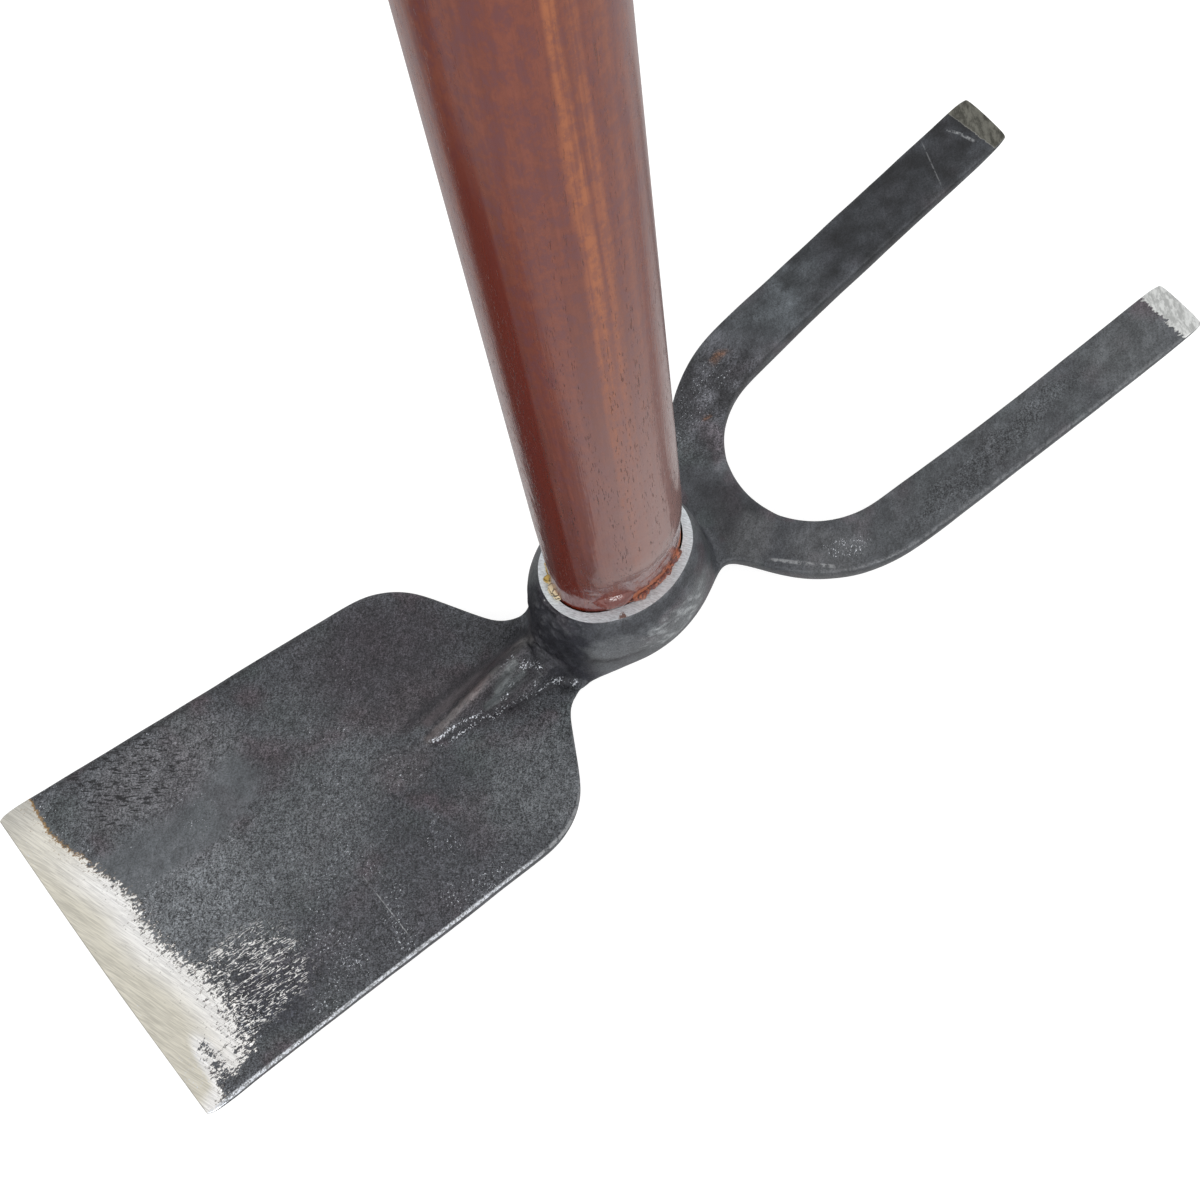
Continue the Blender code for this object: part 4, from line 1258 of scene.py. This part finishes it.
# The stain, dark and light, its mottle, and the orange wood that shows where the stain is thin
STAIN = ((0.100, 0.022, 0.016), (0.190, 0.052, 0.035))
MOTTLED_STAIN = (0.135, 0.042, 0.044)
THIN_STAIN = (0.310, 0.085, 0.036)
PALE_STREAK = (0.370, 0.125, 0.050)
# A painted sheen of the bright surroundings on the varnish, and a painted dark reflection of the blade and its
# shadow
PAINTED_SHEEN = (0.262, 0.158, 0.142)
PAINTED_DARK_REFLECTION = (0.120, 0.012, 0.003)
PORE_BROWN = (0.050, 0.016, 0.014)
BARE_WOOD = ((0.330, 0.110, 0.058), (0.060, 0.018, 0.012))
# Pale streaks: degrees from the front, half width, softness and share
PALE_STREAKS = ((-15.0, 2.5, 4.0, 1.0), (-4.0, 1.5, 4.5, 0.65), (12.0, 1.5, 5.0, 0.25))


def coat(given, result, geometry):
    """End a geometry tree: make its instances real and give them their finish."""
    real = add(geometry.tree, "GeometryNodeRealizeInstances", {0: geometry})
    feed(result, {"Geometry": add(geometry.tree, "GeometryNodeSetMaterial",
                                  {"Geometry": real, "Material": given["Finish"]})})
    return geometry.tree


def turned_handle_tree():
    """A cylinder whose rings are set by their height: tenon, shoulder, shaft, rounded butt."""
    tree, given, result = new_group(
        "Turned_handle", "GeometryNodeTree",
        {"Sides": 96, "Rings": 170, "Foot height": TENON_RECESS * MM, "Top height": TOOL_HEIGHT * MM,
         "Shaft radius": HANDLE_RADIUS * MM, "Tenon half width": TENON[0] * MM,
         "Tenon half depth": TENON[1] * MM, "Foot half width": TENON_FOOT[0] * MM,
         "Foot half depth": TENON_FOOT[1] * MM, "Tenon height": TENON_TOP * MM,
         "Shoulder run": SHOULDER_RUN * MM, "Butt rounding": BUTT_ROUNDING * MM, "Finish": "Material"},
        {"Geometry": "Geometry"})
    blank = add(tree, "GeometryNodeMeshCylinder", {"Vertices": given["Sides"], "Side Segments": given["Rings"],
                                                   "Radius": 1.0, "Depth": 1.0}, "Mesh", fill_type="NGON")
    x, y, z = split(add(tree, "GeometryNodeInputPosition"))
    height = ramp(z + 0.5, 0.0, 1.0) * (given["Top height"] - given["Foot height"]) + given["Foot height"]
    to_shaft = ramp(height, given["Tenon height"], given["Tenon height"] + given["Shoulder run"])
    up_tenon = height / given["Tenon height"]
    gone = 1.0 - calc("MINIMUM", (given["Top height"] - height) / given["Butt rounding"], 1.0)
    lost = (1.0 - calc("SQRT", 1.0 - gone * gone * 0.999)) * given["Butt rounding"]

    def half(name):
        low = between(up_tenon, given["Foot " + name], given["Tenon " + name])
        return between(to_shaft, low, given["Shaft radius"]) - lost

    moved = add(tree, "ShaderNodeCombineXYZ", {0: x * half("half width"), 1: y * half("half depth"), 2: height})
    return coat(given, result, add(tree, "GeometryNodeSetPosition", {"Geometry": blank, "Position": moved}))


def grow(name, tree, inputs):
    """Run a geometry tree on an empty mesh and keep the plain mesh that it makes."""
    item = link_into_scene(name, bpy.data.meshes.new(name))
    worker = item.modifiers.new(name, "NODES")
    worker.node_group = tree
    sockets = {s.name: s.identifier for s in tree.interface.items_tree if s.in_out == "INPUT"}
    for label, value in inputs.items():
        worker[sockets[label]] = value
    settle(item)
    return item


def wood_grain_group():
    tree, given, result = new_group("Wood_grain", "ShaderNodeTree", {"Place": "Vector"},
                                    {"Tone": "Float", "Pores": "Float", "Height": "Float"})
    place = given["Place"]
    bands = clouds(place, (3.2, 3.2, 90.0), detail=4.0, roughness=0.6, distortion=0.3)
    fibres = clouds(place, (0.5, 0.5, 14.0), roughness=0.6)
    rows = ramp(clouds(place, (1.3, 1.3, 70.0), centre=(7.0, 1.0, 0.0)), 0.42, 0.62)
    pores = ramp(clouds(place, (0.20, 0.20, 2.4), detail=1.0, centre=(2.0, 3.0, 5.0)), 0.37, 0.29) * rows
    feed(result, {"Tone": bands * 0.65 + fibres * 0.35, "Pores": pores, "Height": fibres * 0.5 - pores})
    return tree


grain_group = wood_grain_group()


def stripe(side, middle, half, soft):
    """1 along a stripe of the handle, at this many degrees from its front, where side is 0."""
    return ramp(abs(side - math.radians(middle)), math.radians(half + soft), math.radians(half))


def stained(place, z, side, reflection_side, grain):
    """The stain under the varnish, with its mottle and pale streaks, a painted sheen of the bright
    surroundings, and a painted dark reflection of the blade and its shadow.
    """
    streaks = (ramp(grain["Tone"], 0.34, 0.66) - 0.5) * ramp(z, 60.0, 160.0, 1.0, 0.5) + 0.5
    colour = tint(streaks, *STAIN)
    mottle = clouds(place, (2.0, 2.0, 3.4), detail=5.0, roughness=0.75)
    colour = tint(ramp(mottle, 0.44, 0.62, 0.0, 0.7), colour, MOTTLED_STAIN)
    colour = tint(ramp(mottle, 0.60, 0.36) * ramp(z, 50.0, 190.0, 0.04, 0.24), colour, THIN_STAIN)
    # Painted sheen: the bright surroundings seen in the varnish, stronger towards one side
    painted_sheen = ramp(z, 170.0, 60.0, 0.10, 1.0) * ramp(side, math.radians(-62.0), 0.0, 0.1, 0.75)
    colour = tint(painted_sheen * ramp(z, 33.0, 50.0, 0.35, 1.0), colour, PAINTED_SHEEN)
    pale = most(*(stripe(side, *where) * share for *where, share in PALE_STREAKS))
    fibres = ramp(clouds(place, (1.0, 1.0, 60.0), detail=3.0, roughness=0.6), 0.36, 0.58, 0.35, 1.0)
    pale = pale * fibres * ramp(mottle, 0.58, 0.42, 0.55, 1.0) * ramp(z, 55.0, 150.0, 0.14, 0.78)
    colour = tint(pale, colour, PALE_STREAK)
    # Painted reflection of the blade and its shadow: a dark stripe at one angle round the handle
    band = stripe(reflection_side, -74.5, 7.5, 4.0) * ramp(z, 204.0, 170.0)
    return tint(band * 0.85, colour, PAINTED_DARK_REFLECTION)


def varnished_wood():
    made, tree, shader = new_material("varnished_wood")
    place, x, y, z = object_place(tree)
    grain = use_group(tree, grain_group, {"Place": place})
    around = calc("ARCTAN2", x, y * -1.0)
    drift = clouds(place, (6.0, 6.0, 70.0)) - 0.5
    side = around + drift * math.radians(14.0)
    reflection_side = around + drift * math.radians(5.0)
    pores = grain["Pores"] * ramp(z, 210.0, 60.0, 0.35, 1.0)
    colour = tint(pores * 0.7, stained(place, z, side, reflection_side, grain), PORE_BROWN)
    ragged = (clouds(place, (1.6, 1.6, 1.2), detail=3.0, roughness=0.7) - 0.5) * 7.0
    torn = ramp(z + ragged, 31.6, 31.2) * stripe(side, 24.0, 44.0, 10.0)
    raw = most(ramp(z, 27.6, 27.0), torn)
    wood = tint(ramp(clouds(place, (0.9, 0.9, 2.6), distortion=0.5), 0.43, 0.38), *BARE_WOOD)
    ripple = clouds(place, (4.0, 4.0, 8.0)) * ramp(z, 130.0, 40.0, 0.05, 0.35)
    height = grain["Height"] * ramp(z, 210.0, 60.0, 0.03, 0.09) + ripple - raw * 0.25
    feed(shader, {"Base Color": tint(raw, colour, wood), "Specular IOR Level": 0.30,
                  "Roughness": raw * 0.45 + ramp(z, 60.0, 200.0, 0.15, 0.24) + pores * 0.2,
                  "Normal": relief(height)})
    return made


def wedge_mesh(name, size, along_x, grow_by=0.0, overrun=0.0):
    """A driven wedge, thickest at the eye's foot; its slot is the same shape, grown all round."""
    length, thick, thin, depth = size
    bm = bmesh.new()
    rings = []
    for z in (TENON_RECESS - overrun, TENON_RECESS + depth + grow_by):
        half_thick = (thick - (thick - thin) / depth * (z - TENON_RECESS)) / 2 + grow_by
        half_long = length / 2 + grow_by
        half_x, half_y = (half_long, half_thick) if along_x else (half_thick, half_long)
        corners = ((1, 1), (-1, 1), (-1, -1), (1, -1))
        rings.append([point(bm, sx * half_x, sy * half_y, z) for sx, sy in corners])
    skin(bm, rings)
    bm.faces.new(rings[0])
    bm.faces.new(rings[1])
    return into_scene(bm, name)


def cut_slot(item, size, along_x):
    """Cut the slot that a wedge opened, and remove the cutter."""
    cutter = wedge_mesh("slot_cutter", size, along_x, WEDGE_GAP, SLOT_OVERRUN)
    cut = item.modifiers.new("Wedge slot", "BOOLEAN")
    cut.object = cutter
    cut.solver = "EXACT"
    settle(item)
    bpy.data.objects.remove(cutter)


handle = grow("turned_handle", turned_handle_tree(), {"Finish": varnished_wood()})
cut_slot(handle, WOOD_WEDGE, True)
cut_slot(handle, STEEL_WEDGE, False)
shade_round(handle.data)
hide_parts("handle")
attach(handle, "root")


# Foot of the handle
# Driving the handle in tore its varnish against the rim and left a ragged orange lip on one
# side, a thick run of varnish in front, and dried glue squeezed up beside it.
RIM_BEAD_HEIGHT = 28.6
TORN_WOOD = ((0.120, 0.028, 0.020), (0.350, 0.115, 0.062))
RUN_VARNISH = ((0.120, 0.024, 0.018), (0.170, 0.046, 0.036))
# Dried glue, where it is white, yellow and brown
GLUE = ((0.66, 0.63, 0.58), (0.44, 0.28, 0.05), (0.62, 0.50, 0.32))
CRACK_BLACK = (0.018, 0.010, 0.009)
GLUE_CRACK = (0.030, 0.022, 0.016)


def squeezed_ring_tree():
    """A bead round the tenon's oval, thick and ragged from one share of the way round to another."""
    tree, given, result = new_group(
        "Squeezed_ring", "GeometryNodeTree",
        {"Steps": 360, "Sides": 10, "Half width": TENON[0] * MM, "Half depth": TENON[1] * MM,
         "Height": RIM_BEAD_HEIGHT * MM, "Start": 0.6, "End": 0.9, "Fading": 0.02, "Thickness": 0.8 * MM,
         "Unevenness": 0.6, "Raggedness": 0.5 * MM, "Seed": 1.0, "Finish": "Material"},
        {"Geometry": "Geometry"})
    ring, profile = (add(tree, "GeometryNodeCurvePrimitiveCircle",
                         {"Resolution": given[label], "Radius": 1.0}, "Curve") for label in ("Steps", "Sides"))
    way = add(tree, "GeometryNodeSplineParameter", output="Factor")
    begun = ramp(way, given["Start"], given["Start"] + given["Fading"])
    present = begun * ramp(way, given["End"], given["End"] - given["Fading"])
    sunk = ramp(present, 0.0, 1.0, 0.93, 1.0)
    x, y, _ = split(add(tree, "GeometryNodeInputPosition"))
    on_oval = add(tree, "ShaderNodeCombineXYZ", {0: x * given["Half width"] * sunk,
                                                 1: y * given["Half depth"] * sunk, 2: given["Height"]})
    lumps = add(tree, "ShaderNodeTexNoise", {"W": way * 34.0 + given["Seed"], "Scale": 1.0, "Detail": 2.0},
                "Fac", noise_dimensions="1D")
    uneven = (lumps - 0.5) * (given["Unevenness"] * 4.0) + 1.0
    thick = most(uneven * present, 0.03) * given["Thickness"]
    laid = add(tree, "GeometryNodeSetPosition", {"Geometry": ring, "Position": on_oval})
    bead = add(tree, "GeometryNodeCurveToMesh", {"Curve": laid, "Profile Curve": profile, "Scale": thick})
    stray = add(tree, "ShaderNodeTexNoise", {"W": given["Seed"], "Scale": 520.0, "Detail": 2.0},
                "Color", noise_dimensions="4D")
    push = add(tree, "ShaderNodeVectorMath", {0: stray, 1: (0.5, 0.5, 0.5)}, operation="SUBTRACT")
    push = scaled(push, given["Raggedness"] * 4.0)
    return coat(given, result, add(tree, "GeometryNodeSetPosition", {"Geometry": bead, "Offset": push}))


def torn_wood():
    made, tree, shader = new_material("torn_varnish")
    place = object_place(tree)[0]
    chips = clouds(place, (1.1, 1.1, 0.8), detail=3.0, roughness=0.7)
    cracks = threads(place, (1.6, 1.6, 1.2), 0.028, centre=(2.0, 5.0, 0.0))
    colour = tint(ramp(chips, 0.40, 0.58), *TORN_WOOD)
    feed(shader, {"Base Color": tint(cracks * 0.85, colour, CRACK_BLACK),
                  "Roughness": ramp(chips, 0.40, 0.60, 0.28, 0.60), "Normal": relief(chips * 0.5)})
    return made


def run_varnish():
    made, tree, shader = new_material("varnish_run")
    place = object_place(tree)[0]
    feed(shader, {"Base Color": tint(ramp(clouds(place, (3.0, 3.0, 2.0)), 0.4, 0.6), *RUN_VARNISH),
                  "Roughness": 0.10, "Specular IOR Level": 1.0,
                  "Normal": relief(clouds(place, (1.0, 1.0, 0.8)) * 0.35)})
    return made


def dried_glue():
    made, tree, shader = new_material("dried_glue")
    place, _, y, _ = object_place(tree)
    colour = tint(ramp(y, 9.0, 8.0), GLUE[0], GLUE[1])
    colour = tint(ramp(y, 3.8, 2.8), colour, GLUE[2])
    cracks = threads(place, (1.4, 1.4, 1.4), 0.03)
    feed(shader, {"Base Color": tint(cracks * 0.85, colour, GLUE_CRACK), "Roughness": 0.3,
                  "Normal": relief(cracks * -0.3)})
    return made


ring_tree = squeezed_ring_tree()
FOOT_BEADS = (
    ("torn_varnish", torn_wood(),
     {"Start": 0.675, "End": 0.895, "Thickness": 0.70 * MM, "Unevenness": 0.6, "Raggedness": 0.30 * MM,
      "Seed": 3.0}),
    ("varnish_run", run_varnish(),
     {"Start": 0.550, "End": 0.755, "Height": 32.6 * MM, "Fading": 0.09, "Half width": (TENON[0] - 1.0) * MM,
      "Half depth": (TENON[1] - 0.9) * MM, "Thickness": 2.7 * MM, "Unevenness": 0.03, "Raggedness": 0.0,
      "Seed": 8.0}),
    ("glue_lumps", dried_glue(),
     {"Start": 0.375, "End": 0.520, "Thickness": 0.95 * MM, "Unevenness": 0.55, "Raggedness": 0.10 * MM,
      "Seed": 21.0}))
for name, finish, inputs in FOOT_BEADS:
    bead = grow(name, ring_tree, {**inputs, "Finish": finish})
    bead.data.shade_smooth()
    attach(bead, "root")


# Wedges
# A wooden wedge spreads the tenon's end in the eye, and a steel one is driven across it. Both
# are flush with the wood, on the side of the eye that faces the ground.
WEDGE_ROUNDING = 0.15
SPLIT_WOOD = ((0.36, 0.22, 0.11), (0.55, 0.38, 0.21))
SPLIT_WOOD_PORE = (0.20, 0.11, 0.05)
WEDGE_SCALE = ((0.16, 0.16, 0.17), (0.34, 0.34, 0.35))
WEDGE_SCALE_GRAIN = 0.5
HAMMERED_STEEL = ((0.40, 0.40, 0.41), (0.62, 0.62, 0.62))


def wedge_wood():
    made, tree, shader = new_material("wedge_wood")
    grain = use_group(tree, grain_group, {"Place": object_place(tree)[0]})
    colour = tint(ramp(grain["Tone"], 0.3, 0.7), *SPLIT_WOOD)
    feed(shader, {"Base Color": tint(grain["Pores"] * 0.5, colour, SPLIT_WOOD_PORE), "Roughness": 0.75,
                  "Normal": relief(grain["Height"] * 0.05)})
    return made


def wedge_steel():
    made, tree, shader = new_material("wedge_steel")
    place, _, _, z = object_place(tree)
    scale = use_group(tree, scale_group, {"Place": place, "Grain": WEDGE_SCALE_GRAIN})
    scratches = use_group(tree, scratch_group, {"Place": place})
    dark = tint(ramp(scale["Tone"], 0.3, 0.7), *WEDGE_SCALE)
    bright = tint(ramp(scratches["Tone"], 0.35, 0.65), *HAMMERED_STEEL)
    feed(shader, {"Base Color": tint(ramp(z, 1.6, 0.9), dark, bright), "Metallic": 1.0, "Roughness": 0.42,
                  "Normal": relief(scale["Tone"] * 0.10)})
    return made


def make_wedge(name, node, size, along_x, finish, slot_size=None):
    item = wedge_mesh(name, size, along_x)
    if slot_size:
        cut_slot(item, slot_size, not along_x)
    soften = item.modifiers.new("Softened corners", "BEVEL")
    soften.width = WEDGE_ROUNDING * MM
    soften.segments = 2
    soften.limit_method = "ANGLE"
    settle(item)
    give_finish(item, finish)
    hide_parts(node)
    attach(item, "root")


make_wedge("wooden_spreader", "wooden_wedge", WOOD_WEDGE, True, wedge_wood(), STEEL_WEDGE)
make_wedge("steel_spreader", "steel_wedge", STEEL_WEDGE, False, wedge_steel())
